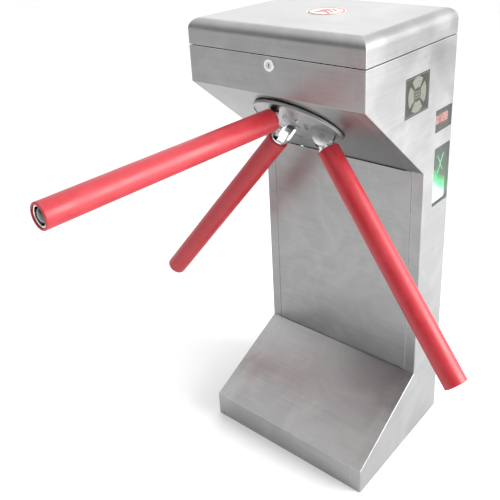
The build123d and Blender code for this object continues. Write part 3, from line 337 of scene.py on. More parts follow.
def brushed_stainless(name, dark, light, smooth, rough):
    """Sheet sanded with a belt, wiped by hands and a little brighter where its folds are rubbed."""
    finish, tree, shader, place = start_finish(name, Metallic=1.0)
    grain = use(tree, BRUSHED_GRAIN, {"Vector": place["Object"], "Normal": place["Normal"]})
    marks = use(tree, SMUDGES, {"Vector": place["Object"]})
    edges = use(tree, EDGE_RUB, {"Vector": place["Object"]})
    tone = combine(tree, "MULTIPLY", grain["Streaks"], 0.4)
    tone = combine(tree, "ADD", tone, combine(tree, "MULTIPLY", grain["Clouds"], 0.2))
    tone = combine(tree, "ADD", tone, combine(tree, "MULTIPLY", grain["Lines"], 0.35))
    sheet = blend(tree, tone, colour(*dark), colour(*light))
    wiped = blend(tree, combine(tree, "MULTIPLY", marks["Patches"], 0.25), sheet,
                  colour(0.56, 0.56, 0.55))
    rubbed = blend(tree, combine(tree, "MULTIPLY", edges["Mask"], 0.7), wiped,
                   colour(0.86, 0.86, 0.87))
    tree.links.new(rubbed, shader["Base Color"])
    worn = combine(tree, "ADD", spread(tree, grain["Clouds"], smooth, rough),
                   combine(tree, "MULTIPLY", marks["Patches"], 0.06))
    tree.links.new(combine(tree, "ADD", worn, spread(tree, grain["Lines"], -0.08, 0.08)),
                   shader["Roughness"])
    height = combine(tree, "ADD", grain["Lines"], combine(tree, "MULTIPLY", grain["Streaks"], 0.5))
    bump(tree, shader, height, 0.00004, 0.6)
    return finish


def polished_stainless(name, shade, smooth, rough):
    """Mirror-ground steel with faint buffing clouds and hairlines."""
    finish, tree, shader, place = start_finish(name, Metallic=1.0)
    grain = use(tree, BRUSHED_GRAIN,
                {"Vector": place["Object"], "Normal": place["Normal"], "Length": 40.0})
    marks = use(tree, SMUDGES, {"Vector": place["Object"], "Patch": 30.0, "Hair": 300.0})
    edges = use(tree, EDGE_RUB, {"Vector": place["Object"], "Width": 0.0006})
    base = blend(tree, grain["Clouds"], colour(shade * 0.88, shade * 0.89, shade * 0.9),
                 colour(shade, shade, shade))
    lined = blend(tree, combine(tree, "MULTIPLY", marks["Hairlines"], 0.4), base,
                  colour(0.5, 0.5, 0.5))
    rubbed = blend(tree, edges["Mask"], lined, colour(0.95, 0.95, 0.95))
    tree.links.new(rubbed, shader["Base Color"])
    tree.links.new(spread(tree, marks["Patches"], smooth, rough), shader["Roughness"])
    bump(tree, shader, grain["Lines"], 0.00002, 0.4)
    return finish


def plated_steel(name, dark, light, rough):
    """Zinc plating: small crystals of slightly different brightness, with grit in the dull ones."""
    finish, tree, shader, place = start_finish(name, Metallic=0.95)
    crystals = node(tree, "ShaderNodeTexVoronoi", {"Vector": place["Object"], "Scale": 140.0})
    grit = use(tree, GRIT, {"Vector": place["Object"]})
    edges = use(tree, EDGE_RUB, {"Vector": place["Object"]})
    shade = node(tree, "ShaderNodeSeparateColor", {0: crystals.outputs["Color"]}).outputs[0]
    shade = combine(tree, "ADD", combine(tree, "MULTIPLY", shade, 0.5),
                    combine(tree, "MULTIPLY", grit["Coarse"], 0.5))
    coat = blend(tree, shade, colour(*dark), colour(*light))
    tree.links.new(blend(tree, edges["Mask"], coat, colour(0.75, 0.76, 0.78)), shader["Base Color"])
    tree.links.new(spread(tree, shade, rough, rough - 0.16), shader["Roughness"])
    bump(tree, shader, grit["Value"], 0.00003, 0.5)
    return finish


def turned_steel(name, dark, light, rough):
    """Steel from the lathe: close tool marks round each bar and a thin film of oil in patches."""
    finish, tree, shader, place = start_finish(name, Metallic=1.0, Coat_Roughness=0.2)
    tool = node(tree, "ShaderNodeTexWave",
                {"Vector": place["Object"], "Scale": 380.0, "Distortion": 1.5, "Detail": 2.0},
                bands_direction="DIAGONAL")
    marks = use(tree, SMUDGES, {"Vector": place["Object"], "Patch": 45.0})
    edges = use(tree, EDGE_RUB, {"Vector": place["Object"], "Width": 0.0005})
    base = blend(tree, tool.outputs["Fac"], colour(*dark), colour(*light))
    tree.links.new(blend(tree, edges["Mask"], base, colour(0.85, 0.85, 0.86)), shader["Base Color"])
    tree.links.new(spread(tree, marks["Patches"], rough, rough + 0.15), shader["Roughness"])
    tree.links.new(combine(tree, "MULTIPLY", marks["Patches"], 0.3), shader["Coat Weight"])
    bump(tree, shader, tool.outputs["Fac"], 0.00002, 0.5)
    return finish


def cast_alloy(name, dark, light):
    """Cast aluminium: a pebbled skin, duller in the hollows."""
    finish, tree, shader, place = start_finish(name, Metallic=0.9)
    grit = use(tree, GRIT, {"Vector": place["Object"], "Scale": 420.0})
    edges = use(tree, EDGE_RUB, {"Vector": place["Object"]})
    skin = blend(tree, grit["Coarse"], colour(*dark), colour(*light))
    tree.links.new(blend(tree, edges["Mask"], skin, colour(0.8, 0.8, 0.8)), shader["Base Color"])
    tree.links.new(spread(tree, grit["Value"], 0.38, 0.62), shader["Roughness"])
    bump(tree, shader, grit["Value"], 0.00015, 0.6)
    return finish


def sleeve_rubber(name, deep, lit):
    """Satin red rubber: fine even grit, a chalky bloom, scuffs, and shiny handled patches."""
    finish, tree, shader, place = start_finish(name, Coat_Roughness=0.35, Specular_IOR_Level=0.5)
    grit = use(tree, GRIT, {"Vector": place["Object"], "Scale": 1600.0})
    marks = use(tree, SMUDGES, {"Vector": place["Object"], "Patch": 14.0, "Hair": 70.0})
    bloom = blend(tree, combine(tree, "MULTIPLY", grit["Coarse"], 0.55), colour(*deep),
                  colour(*lit))
    handled = blend(tree, combine(tree, "MULTIPLY", marks["Patches"], 0.2), bloom,
                    colour(0.62, 0.09, 0.12))
    scuffed = blend(tree, combine(tree, "MULTIPLY", marks["Hairlines"], 0.35), handled,
                    colour(0.32, 0.015, 0.03))
    tree.links.new(scuffed, shader["Base Color"])
    tree.links.new(spread(tree, marks["Patches"], 0.36, 0.5), shader["Roughness"])
    tree.links.new(spread(tree, marks["Patches"], 0.16, 0.06), shader["Coat Weight"])
    height = combine(tree, "ADD", grit["Value"], combine(tree, "MULTIPLY", grit["Coarse"], 2.0))
    bump(tree, shader, height, 0.00005, 0.6)
    return finish


def smoked_pane(name, tint, see_through):
    """Smoked acrylic that lets the lit parts behind it show, with wiping marks."""
    finish, tree, shader, place = start_finish(name, Metallic=0.0, IOR=1.49, Specular_IOR_Level=0.6)
    marks = use(tree, SMUDGES, {"Vector": place["Object"], "Patch": 22.0, "Hair": 180.0})
    film = blend(tree, combine(tree, "MULTIPLY", marks["Patches"], 0.5), colour(*tint),
                 colour(*[part * 2.2 + 0.01 for part in tint]))
    tree.links.new(film, shader["Base Color"])
    tree.links.new(spread(tree, marks["Patches"], 0.06, 0.2), shader["Roughness"])
    tree.links.new(spread(tree, marks["Patches"], see_through, see_through + 0.06), shader["Alpha"])
    bump(tree, shader, marks["Hairlines"], 0.00001, 0.4)
    return finish


def moulded_plastic(name, dark, light, rough):
    """Moulded plastic with a fine spark-eroded texture and dust on it."""
    finish, tree, shader, place = start_finish(name)
    grit = use(tree, GRIT, {"Vector": place["Object"], "Scale": 700.0})
    edges = use(tree, EDGE_RUB, {"Vector": place["Object"], "Width": 0.0008})
    body = blend(tree, grit["Coarse"], colour(*dark), colour(*light))
    rubbed = combine(tree, "MULTIPLY", edges["Mask"], 0.5)
    tree.links.new(blend(tree, rubbed, body, colour(*[part * 2.5 + 0.03 for part in light])),
                   shader["Base Color"])
    tree.links.new(spread(tree, grit["Coarse"], rough + 0.12, rough), shader["Roughness"])
    bump(tree, shader, grit["Value"], 0.00006, 0.6)
    return finish


def painted_reflection_gloss(name, dark, light):
    """Glossy dome whose dark greenish colour is a painted reflection of dark surroundings in chrome, with fine
    swirl marks from handling.
    """
    finish, tree, shader, place = start_finish(name, Coat_Roughness=0.03, Specular_IOR_Level=0.7)
    marks = use(tree, SMUDGES, {"Vector": place["Object"], "Patch": 60.0, "Hair": 500.0})
    body = blend(tree, marks["Patches"], colour(*dark), colour(*light))
    tree.links.new(body, shader["Base Color"])
    tree.links.new(spread(tree, marks["Patches"], 0.08, 0.22), shader["Roughness"])
    tree.links.new(spread(tree, marks["Patches"], 0.9, 0.6), shader["Coat Weight"])
    bump(tree, shader, marks["Hairlines"], 0.00002, 0.5)
    return finish


def circuit_board(name):
    """Solder mask over a grid of copper tracks, with tinned pads."""
    finish, tree, shader, place = start_finish(name, Coat_Weight=0.4, Coat_Roughness=0.15)
    tracks = node(tree, "ShaderNodeTexBrick", {"Vector": place["Object"], "Scale": 90.0,
                                              "Mortar Size": 0.06, "Mortar Smooth": 0.2},
                  offset=0.35, squash=0.6)
    pads = node(tree, "ShaderNodeTexVoronoi", {"Vector": place["Object"], "Scale": 150.0,
                                              "Randomness": 0.25})
    grit = use(tree, GRIT, {"Vector": place["Object"]})
    mask = blend(tree, grit["Coarse"], colour(0.006, 0.055, 0.022), colour(0.012, 0.11, 0.045))
    tracked = blend(tree, combine(tree, "MULTIPLY", tracks.outputs["Fac"], 0.7), mask,
                    colour(0.05, 0.24, 0.09))
    pad = ramp(tree, pads.outputs["Distance"], [(0.16, 1.0), (0.2, 0.0)])
    tree.links.new(blend(tree, pad, tracked, colour(0.62, 0.6, 0.55)), shader["Base Color"])
    tree.links.new(pad, shader["Metallic"])
    tree.links.new(spread(tree, grit["Value"], 0.3, 0.45), shader["Roughness"])
    bump(tree, shader, tracks.outputs["Fac"], 0.00005, 0.6)
    return finish


def wound_coil(name):
    """Lacquered steel frame with the tape of its coil in fine laps."""
    finish, tree, shader, place = start_finish(name, Coat_Roughness=0.3)
    laps = node(tree, "ShaderNodeTexWave",
                {"Vector": place["Object"], "Scale": 60.0, "Distortion": 0.6})
    grit = use(tree, GRIT, {"Vector": place["Object"]})
    edges = use(tree, EDGE_RUB, {"Vector": place["Object"]})
    body = blend(tree, laps.outputs["Fac"], colour(0.03, 0.03, 0.032), colour(0.07, 0.068, 0.065))
    tree.links.new(blend(tree, edges["Mask"], body, colour(0.4, 0.4, 0.41)), shader["Base Color"])
    tree.links.new(spread(tree, grit["Value"], 0.35, 0.55), shader["Roughness"])
    tree.links.new(spread(tree, laps.outputs["Fac"], 0.1, 0.4), shader["Coat Weight"])
    bump(tree, shader, laps.outputs["Fac"], 0.0001, 0.6)
    return finish


def screen_print(name, ink, rough):
    """Screen-printed ink: slightly uneven cover and a matt surface."""
    finish, tree, shader, place = start_finish(name)
    grit = use(tree, GRIT, {"Vector": place["Object"], "Scale": 1800.0})
    thin = colour(*[part * 0.72 for part in ink])
    tree.links.new(blend(tree, grit["Coarse"], thin, colour(*ink)), shader["Base Color"])
    tree.links.new(spread(tree, grit["Value"], rough, rough + 0.15), shader["Roughness"])
    bump(tree, shader, grit["Value"], 0.00002, 0.5)
    return finish


def lit_lens_and_painted_glow(name, core, rim, strength):
    """A diffused lens with its lamp on, brighter in the middle of its grain than at the edges; the same emission
    also paints the red glow on the film round the counter digits.
    """
    finish, tree, shader, place = start_finish(name, Emission_Strength=strength, Roughness=0.3)
    grit = use(tree, GRIT, {"Vector": place["Object"], "Scale": 1200.0})
    glow = blend(tree, grit["Value"], colour(*rim), colour(*core))
    tree.links.new(glow, shader["Emission Color"])
    tree.links.new(blend(tree, grit["Coarse"], colour(*rim), colour(*core)), shader["Base Color"])
    return finish


def painted_glow_guide(name, bright, glow, murk, dim, strength):
    """A clouded light guide whose emission paints the glow spilled from the lamps below: nearly white low at the
    front, then green, and dark at its top.
    """
    finish, tree, shader, place = start_finish(name, Emission_Strength=strength, Roughness=0.35)
    grit = use(tree, GRIT, {"Vector": place["Object"], "Scale": 900.0})
    where = node(tree, "ShaderNodeSeparateXYZ", {0: place["Object"]}).outputs
    low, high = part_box("indicator_windows")
    height = spread(tree, where["Z"], 0.0, 1.0, low.z, high.z)
    depth = spread(tree, where["Y"], 0.0, 1.0, low.y, high.y)
    away = combine(tree, "ADD", combine(tree, "MULTIPLY", height, 0.9),
                   combine(tree, "MULTIPLY", depth, 0.28))
    cloudy = combine(tree, "ADD", away, spread(tree, grit["Coarse"], -0.09, 0.09))
    light = ramp(tree, cloudy, [(0.3, bright), (0.46, glow), (0.62, murk), (1.0, dim)])
    tree.links.new(light, shader["Emission Color"])
    tree.links.new(blend(tree, grit["Value"], light, colour(*glow)), shader["Base Color"])
    return finish


def pearl_enamel(name, field, fleck):
    """The badge's pale field under clear resin."""
    finish, tree, shader, place = start_finish(name, Coat_Weight=0.8, Coat_Roughness=0.05)
    grit = use(tree, GRIT, {"Vector": place["Object"], "Scale": 2500.0})
    tree.links.new(blend(tree, grit["Value"], colour(*field), colour(*fleck)), shader["Base Color"])
    tree.links.new(spread(tree, grit["Coarse"], 0.25, 0.4), shader["Roughness"])
    tree.links.new(spread(tree, grit["Value"], 0.0, 0.3), shader["Metallic"])
    return finish


FINISH = {
    "stainless_brushed": brushed_stainless(
        "brushed stainless", (0.245, 0.245, 0.245), (0.42, 0.42, 0.425), 0.28, 0.42),
    "stainless_bright": polished_stainless("polished stainless", 0.84, 0.1, 0.24),
    "zinc_plate": plated_steel("zinc plate", (0.36, 0.37, 0.39), (0.58, 0.59, 0.61), 0.5),
    "sleeve_red": sleeve_rubber("sleeve rubber", (0.37, 0.007, 0.014), (0.49, 0.018, 0.03)),
    "window_dark": smoked_pane("smoked pane", (0.022, 0.022, 0.019), 0.66),
    "badge_red": screen_print("badge red", (0.52, 0.05, 0.03), 0.3),
    "board_green": circuit_board("circuit board"),
    "black_plastic": moulded_plastic(
        "black plastic", (0.012, 0.012, 0.013), (0.03, 0.03, 0.032), 0.42),
    "black_rubber": moulded_plastic(
        "black rubber", (0.008, 0.008, 0.008), (0.022, 0.022, 0.022), 0.7),
    "bright_steel": turned_steel("turned steel", (0.46, 0.46, 0.48), (0.66, 0.66, 0.68), 0.2),
    "cast_housing": cast_alloy("cast housing", (0.4, 0.41, 0.42), (0.62, 0.63, 0.64)),
    "solenoid_coat": wound_coil("solenoid coil"),
}
PRINT_PALE = screen_print("pale print", (0.2, 0.21, 0.155), 0.4)
BADGE_FIELD = pearl_enamel("badge field", (0.72, 0.64, 0.58), (0.85, 0.8, 0.76))
LAMP_GREEN = lit_lens_and_painted_glow("green lamp", (0.25, 1.0, 0.45), (0.02, 0.75, 0.18), 4.0)
LAMP_PALE = lit_lens_and_painted_glow("pale lamp", (0.6, 1.0, 0.75), (0.35, 0.95, 0.55), 1.4)
LAMP_RED = lit_lens_and_painted_glow("red lamp", (1.0, 0.62, 0.56), (1.0, 0.45, 0.4), 7.0)
# The digit glow is painted light: a film round the counter digits that glows red as though lit by them.
PAINTED_DIGIT_GLOW = lit_lens_and_painted_glow("painted digit glow", (1.0, 0.3, 0.25), (1.0, 0.2, 0.16), 3.2)
# The guide's glow is painted light: emission that fades from the lamps' end to dark at the top.
GUIDE_PAINTED_GLOW = painted_glow_guide("guide painted glow", (0.7, 1.0, 0.86), (0.04, 0.66, 0.2), (0.002, 0.05, 0.016),
                        (0.0, 0.008, 0.004), 14.0)
# The cap domes' dark greenish colour is a painted reflection of dark surroundings, not the cap's own colour.
PAINTED_REFLECTION_DOME = painted_reflection_gloss("cap dome", (0.012, 0.02, 0.012), (0.03, 0.045, 0.028))

slot_of = {part["node"]: part["material_slot"] for part in frame["record"]["subparts"]}
for name, cad in frame["nodes"].items():
    cad.data.materials.clear()
    cad.data.materials.append(FINISH[slot_of[name]])


# ================================================================ workshop helpers
def start_piece(name):
    """Names the primitive that was just added, applies its place and opens it for shaping."""
    piece = bpy.context.object
    piece.name = name
    piece.data.name = name
    bpy.ops.object.transform_apply(location=True, rotation=True, scale=True)
    bpy.ops.object.mode_set(mode="EDIT")
    return piece


def bench_cylinder(name, radius, low, high, sides=ROUND_SIDES):
    """A round bar standing on the bench between two heights, open for shaping."""
    bpy.ops.object.select_all(action="DESELECT")
    bpy.ops.mesh.primitive_cylinder_add(
        vertices=sides, radius=radius, depth=high - low, location=(0, 0, (low + high) / 2)
    )
    return start_piece(name)


def bench_block(name, width, length, thickness):
    """A block about the middle of the bench, open for shaping."""
    bpy.ops.object.select_all(action="DESELECT")
    bpy.ops.mesh.primitive_cube_add(size=1, scale=(width, length, thickness))
    return start_piece(name)


def flat_end(face):
    """True for a face that looks straight up or down."""
    return abs(face.normal.z) > FACING


def top_end(face):
    return face.normal.z > FACING


def pick(piece, part, test):
    """Selects the faces or edges that pass a test, and nothing else."""
    bpy.ops.mesh.select_mode(type=part)
    bpy.ops.mesh.select_all(action="DESELECT")
    mesh = bmesh.from_edit_mesh(piece.data)
    for item in (mesh.faces if part == "FACE" else mesh.edges):
        if test(item):
            item.select_set(True)
    bmesh.update_edit_mesh(piece.data)


def open_through(piece, border):
    """Cuts a hole through both flat ends and leaves a border round it."""
    pick(piece, "FACE", flat_end)
    bpy.ops.mesh.inset(thickness=border, use_individual=True)
    bpy.ops.mesh.bridge_edge_loops()


def end_shaping(sharp_from=SHARP_FROM):
    """Closes the edit and smooths everything but the sharp corners."""
    bpy.ops.mesh.select_all(action="SELECT")
    bpy.ops.mesh.normals_make_consistent(inside=False)
    bpy.ops.object.mode_set(mode="OBJECT")
    bpy.ops.object.shade_smooth_by_angle(angle=radians(sharp_from))


def apply_modifiers(piece):
    for modifier in list(piece.modifiers):
        bpy.ops.object.modifier_apply(modifier=modifier.name)


def set_in_place(piece, place):
    """Moves a finished mesh from the bench to its place. Its object stays at the origin."""
    piece.data.transform(place)
    piece.data.update()


def copy_piece(piece, name, place):
    """A copy with its own mesh, moved by a place matrix."""
    twin = bpy.data.objects.new(name, piece.data.copy())
    bpy.context.scene.collection.objects.link(twin)
    set_in_place(twin, place)
    return twin


def join_pieces(pieces, name):
    """Joins several meshes into one piece."""
    bpy.ops.object.select_all(action="DESELECT")
    for piece in pieces:
        piece.select_set(True)
    bpy.context.view_layer.objects.active = pieces[0]
    bpy.ops.object.join()
    pieces[0].name = name
    pieces[0].data.name = name
    return pieces[0]


def hand_over(piece, body, material, slot, *replaced):
    """Gives a finished piece its material and the body that it rides on."""
    piece.data.materials.clear()
    piece.data.materials.append(material)
    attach(piece, body)
    if replaced:
        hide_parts(*replaced)
    return piece


def axes(origin, across, up, out):
    """The matrix that carries bench X, Y and Z to three directions at a point."""
    turn = Matrix((across, up, out)).transposed().to_4x4()
    return Matrix.Translation(origin) @ turn


def middle_of(name):
    low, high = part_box(name)
    return (low + high) / 2


def centre_of_points(name):
    """The mean of a node's points, which lies on the axis of a round piece."""
    points = frame["nodes"][name].data.vertices
    return sum((point.co for point in points), Vector()) / len(points)


# ================================================================ arms
def arm_place(index):
    """Carries bench +Z to an arm's axis, with the bench origin at its pivot."""
    share = Matrix.Rotation(2 * pi * index / len(ARM_BODIES), 3, hub_axis)
    pivot = share @ (first_pivot - hub_middle) + hub_middle
    along = (centre_of_points(f"arm_{index + 1}_cap") - pivot).normalized()
    across = along.cross(hub_axis).normalized()
    return axes(pivot, across, along.cross(across), along)


def reach_along(name, place):
    """How far a node reaches along bench +Z, and how far it stands from that axis."""
    back = place.inverted()
    points = [back @ point.co for point in frame["nodes"][name].data.vertices]
    heights = [point.z for point in points]
    radius = max(Vector((point.x, point.y)).length for point in points)
    return min(heights), max(heights), radius


def model_sleeve(start, end, radius):
    """A rubber sleeve on the bench: a tube with rounded lips and a very slightly uneven skin."""
    piece = bench_cylinder("sleeve", radius, start, end, SLEEVE_SIDES)
    open_through(piece, SLEEVE_WALL)
    pick(piece, "EDGE", lambda edge: all(
        abs(Vector(corner.co[:2]).length - radius) < NEAR for corner in edge.verts
    ) and abs(edge.verts[0].co.z - edge.verts[1].co.z) < NEAR)
    bpy.ops.mesh.bevel(offset=SLEEVE_ROUND, segments=LIP_STEPS, affect="EDGES")
    for step in range(1, SLEEVE_LENGTHS):
        bpy.ops.mesh.select_all(action="SELECT")
        level = start + (end - start) * step / SLEEVE_LENGTHS
        bpy.ops.mesh.bisect(plane_co=(0, 0, level), plane_no=(0, 0, 1))
    end_shaping()
    unevenness = bpy.data.textures.new("sleeve unevenness", "CLOUDS")
    unevenness.noise_scale = SWELL_SIZE
    swell = piece.modifiers.new("swell", "DISPLACE")
    swell.texture = unevenness
    swell.strength = SWELL
    swell.mid_level = SWELL_MIDDLE
    apply_modifiers(piece)
    return piece


def fit_sleeves():
    place = arm_place(0)
    start, end, radius = reach_along("arm_1_sleeve", place)
    pattern = model_sleeve(start, end, radius)
    for index, body in enumerate(ARM_BODIES):
        name = f"arm_{index + 1}_sleeve"
        sleeve = copy_piece(pattern, f"rubber_sleeve_{index + 1}", arm_place(index))
        hand_over(sleeve, body, FINISH["sleeve_red"], "sleeve_red", name)
    bpy.data.objects.remove(pattern)


def model_dome(name, radius, low, high):
    """A round plug whose outer end swells to a shallow dome."""
    rise = (high - low) * DOME_RISE_SHARE
    piece = bench_cylinder(name, radius, low, high - rise, SLEEVE_SIDES)
    pick(piece, "FACE", top_end)
    stride = pi / 2 / DOME_STEPS
    for step in range(1, DOME_STEPS):
        angle = step * stride
        lift = rise * (sin(angle) - sin(angle - stride))
        narrower = cos(angle) / cos(angle - stride)
        bpy.ops.mesh.extrude_region_move(TRANSFORM_OT_translate={"value": (0, 0, lift)})
        bpy.ops.transform.resize(value=(narrower, narrower, 1))
    end_shaping(SHARP_FROM_DOME)
    return piece


def fit_caps():
    """Each arm's end: a bright rolled rim in the sleeve's mouth round a domed plug whose dark colour is a painted
    reflection.
    """
    bench = arm_place(0)
    start, end, radius = reach_along("arm_1_cap", bench)
    rim_end = end - (end - reach_along("arm_1_tube", bench)[1]) * CAP_RIM_BACK
    inner = radius * (1 - CAP_RIM_SHARE)
    rim = model_band("cap rim", radius, inner, rim_end - CAP_SEAT, rim_end)
    bpy.context.view_layer.objects.active = rim
    roll = rim.modifiers.new("roll", "BEVEL")
    roll.width = radius * CAP_RIM_SHARE * CAP_ROLL_SHARE
    roll.segments = LIP_STEPS
    roll.limit_method = "ANGLE"
    apply_modifiers(rim)
    dome = model_dome("cap dome", inner, start, end)
    for index, body in enumerate(ARM_BODIES):
        place = arm_place(index)
        hand_over(copy_piece(rim, f"cap_rim_{index + 1}", place), body, FINISH["stainless_bright"],
                  "stainless_bright", f"arm_{index + 1}_cap")
        hand_over(copy_piece(dome, f"cap_painted_reflection_dome_{index + 1}", place), body, PAINTED_REFLECTION_DOME, "black_plastic")
    bpy.data.objects.remove(rim)
    bpy.data.objects.remove(dome)


# ================================================================ lid badge
def model_band(name, outer, inner, low, high):
    """A flat ring between two heights on the bench."""
    piece = bench_cylinder(name, outer, low, high)
    open_through(piece, outer - inner)
    end_shaping()
    return piece


def model_chevron(name, width, bar, rise, thickness):
    """A bent bar, pointing along bench +Y."""
    piece = bench_block(name, width, bar, thickness)
    bpy.ops.mesh.select_all(action="SELECT")
    bpy.ops.mesh.bisect(plane_co=(0, 0, 0), plane_no=(1, 0, 0))
    pick(piece, "EDGE", lambda edge: all(abs(corner.co.x) < NEAR for corner in edge.verts))
    bpy.ops.transform.translate(value=(0, rise, 0))
    end_shaping(SHARP_FROM_FLAT)
    return piece


def fit_badge():
    low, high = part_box("lid_badge")
    centre = middle_of("lid_badge")
    radius = (high.x - low.x) / 2
    face = low.z + (high.z - low.z) * BADGE_BASE_SHARE
    half = (face - low.z) / 2
    disc = bench_cylinder("badge_disc", radius, -half, half)
    pick(disc, "FACE", top_end)
    bpy.ops.mesh.inset(thickness=BADGE_LIP)
    bpy.ops.transform.translate(value=(0, 0, -BADGE_DIP))
    end_shaping()
    set_in_place(disc, Matrix.Translation((centre.x, centre.y, (low.z + face) / 2)))
    hand_over(disc, "lid", BADGE_FIELD, "badge_red", "lid_badge")

    seat = Matrix.Translation((centre.x, centre.y, face))
    outer = radius - BADGE_RING_INSET
    relief = high.z - face
    ring = model_band("badge_ring", outer, outer - BADGE_RING_WIDTH, -BADGE_RING_ROOT, relief)
    set_in_place(ring, seat)
    hand_over(ring, "lid", FINISH["badge_red"], "badge_red")

    bars = []
    for step in range(CHEVRONS):
        bar = model_chevron("chevron", radius * CHEVRON_WIDTH_SHARE, radius * CHEVRON_BAR_SHARE,
                            radius * CHEVRON_RISE_SHARE, relief)
        up = (step - CHEVRON_MIDDLE) * radius * CHEVRON_PITCH_SHARE
        set_in_place(bar, seat @ Matrix.Translation((0, up, relief / 2)))
        bars.append(bar)
    hand_over(join_pieces(bars, "badge_chevrons"), "lid", FINISH["badge_red"], "badge_red")


# ================================================================ marks and lamps at the windows
def side_place(window, side, face):
    """Bench X runs along the cabinet's side, Y up and Z out of it, level with a window's middle."""
    centre = middle_of(window)
    return axes(Vector((face, centre.y, centre.z)), Vector((0, side, 0)), Vector((0, 0, 1)),
                Vector((side, 0, 0)))


def model_arc(name, inner, outer, sweep, thickness):
    """A flat arc about the bench origin, centred on +Y: a bar's end turned round by spin."""
    bpy.ops.object.select_all(action="DESELECT")
    bpy.ops.mesh.primitive_plane_add(
        size=1, location=((inner + outer) / 2, 0, thickness / 2), rotation=(pi / 2, 0, 0)
    )
    bpy.context.object.scale = (outer - inner, thickness, 1)
    piece = start_piece(name)
    bpy.ops.mesh.select_all(action="SELECT")
    bpy.ops.mesh.spin(steps=ARC_STEPS, angle=sweep, center=(0, 0, 0), axis=(0, 0, 1))
    bpy.ops.mesh.select_all(action="SELECT")
    bpy.ops.mesh.remove_doubles(threshold=WELD)
    end_shaping(SHARP_FROM_FLAT)
    set_in_place(piece, Matrix.Rotation((pi + sweep) / 2, 4, "Z"))
    return piece


def model_frame(name, width, height, border, thickness):
    """A thin rectangular frame with a window through it."""
    piece = bench_block(name, width, height, thickness)
    open_through(piece, border)
    end_shaping(SHARP_FROM_FLAT)
    return piece


def fit_reader_marks():
    low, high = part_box("reader_window")
    place = side_place("reader_window", 1, high.x)
    marks = []
    for rib in range(FAN_RIBS):
        inner = FAN_FIRST_RADIUS + rib * FAN_RIB_PITCH
        arc = model_arc("fan rib", inner, inner + FAN_RIB_WIDTH, FAN_SWEEP, PRINT_THICKNESS)
        for quarter in range(4):
            turned = place @ Matrix.Rotation(quarter * pi / 2, 4, "Z")
            marks.append(copy_piece(arc, "fan rib", turned))
        bpy.data.objects.remove(arc)
    width = high.y - low.y - 2 * BORDER_INSET
    height = high.z - low.z - 2 * BORDER_INSET
    flat = place @ Matrix.Translation((0, 0, PRINT_THICKNESS / 2))
    for mark in (
        model_frame("card", CARD_WIDTH, CARD_HEIGHT, CARD_LINE, PRINT_THICKNESS),
        model_chevron("stripe", STRIPE_LENGTH, STRIPE_WIDTH, 0.0, PRINT_THICKNESS),
        model_frame("border", width, height, BORDER_LINE, PRINT_THICKNESS),
    ):
        set_in_place(mark, flat)
        marks.append(mark)
    hand_over(join_pieces(marks, "reader_marks"), "cabinet", PRINT_PALE, "window_dark")


def model_bar(name, length, width, thickness):
    """A bar whose two ends come to a point."""
    piece = bench_block(name, length - width, width, thickness)
    for side in (1, -1):
        pick(piece, "FACE", lambda face: face.normal.x * side > FACING)
        bpy.ops.mesh.extrude_region_move(TRANSFORM_OT_translate={"value": (side * width / 2, 0, 0)})
        bpy.ops.transform.resize(value=(1, BAR_POINT_SHARE, 1))
    end_shaping(SHARP_FROM_FLAT)
    return piece


# Strokes of a digit: (across, up, upright) in half widths and half heights.
STROKES = {
    "top": (0, 1, False), "middle": (0, 0, False), "bottom": (0, -1, False),
    "upper_left": (-1, 0.5, True), "upper_right": (1, 0.5, True),
    "lower_left": (-1, -0.5, True), "lower_right": (1, -0.5, True),
}
COUNT_SHOWN = (
    ("top", "bottom", "upper_left", "upper_right", "lower_left", "lower_right"),
    ("upper_right", "lower_right"),
    ("top", "middle", "bottom", "upper_right", "lower_left"),
    ("top", "middle", "bottom", "upper_left", "upper_right", "lower_left", "lower_right"),
)


def fit_counter_digits():
    face = side_place("counter_window", 1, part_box("counter_board")[1].x)
    gap = DIGIT_BAR * DIGIT_GAP_SHARE
    strokes = []
    for place_in_row, lit in enumerate(COUNT_SHOWN):
        middle = (place_in_row - (len(COUNT_SHOWN) - 1) / 2) * DIGIT_PITCH
        for stroke in lit:
            across, up, upright = STROKES[stroke]
            length = DIGIT_HEIGHT / 2 if upright else DIGIT_WIDTH
            bar = model_bar("stroke", length - gap, DIGIT_BAR, DIGIT_THICKNESS)
            if upright:
                set_in_place(bar, Matrix.Rotation(pi / 2, 4, "Z"))
            shift = (middle + across * DIGIT_WIDTH / 2, up * DIGIT_HEIGHT / 2, DIGIT_THICKNESS / 2)
            set_in_place(bar, face @ Matrix.Translation(shift))
            strokes.append(bar)
    hand_over(join_pieces(strokes, "counter_digits"), "cabinet", LAMP_RED, "board_green")
    # The film round the digits carries a painted red glow, as if spilled from the lit digits.
    row_width = DIGIT_PITCH * (len(COUNT_SHOWN) - 1) + DIGIT_WIDTH * FILM_WIDTH_SHARE
    film = model_frame("counter_painted_glow_film", row_width, DIGIT_HEIGHT * FILM_HEIGHT_SHARE,
                       DIGIT_HEIGHT * FILM_BORDER_SHARE, FILM_THICKNESS)
    set_in_place(film, face @ Matrix.Translation((0, 0, FILM_THICKNESS / 2)))
    hand_over(film, "cabinet", PAINTED_DIGIT_GLOW, "window_dark")


def model_lamp(name):
    """A lamp's lens: a low dome on a short collar."""
    piece = bench_cylinder(name, LAMP_RADIUS, -LAMP_COLLAR / 2, LAMP_COLLAR / 2, LAMP_SIDES)
    pick(piece, "FACE", top_end)
    for rise, size in LAMP_LENS:
        bpy.ops.mesh.extrude_region_move(TRANSFORM_OT_translate={"value": (0, 0, rise)})
        bpy.ops.transform.resize(value=(size, size, 1))
    end_shaping(SHARP_FROM_LENS)
    return piece


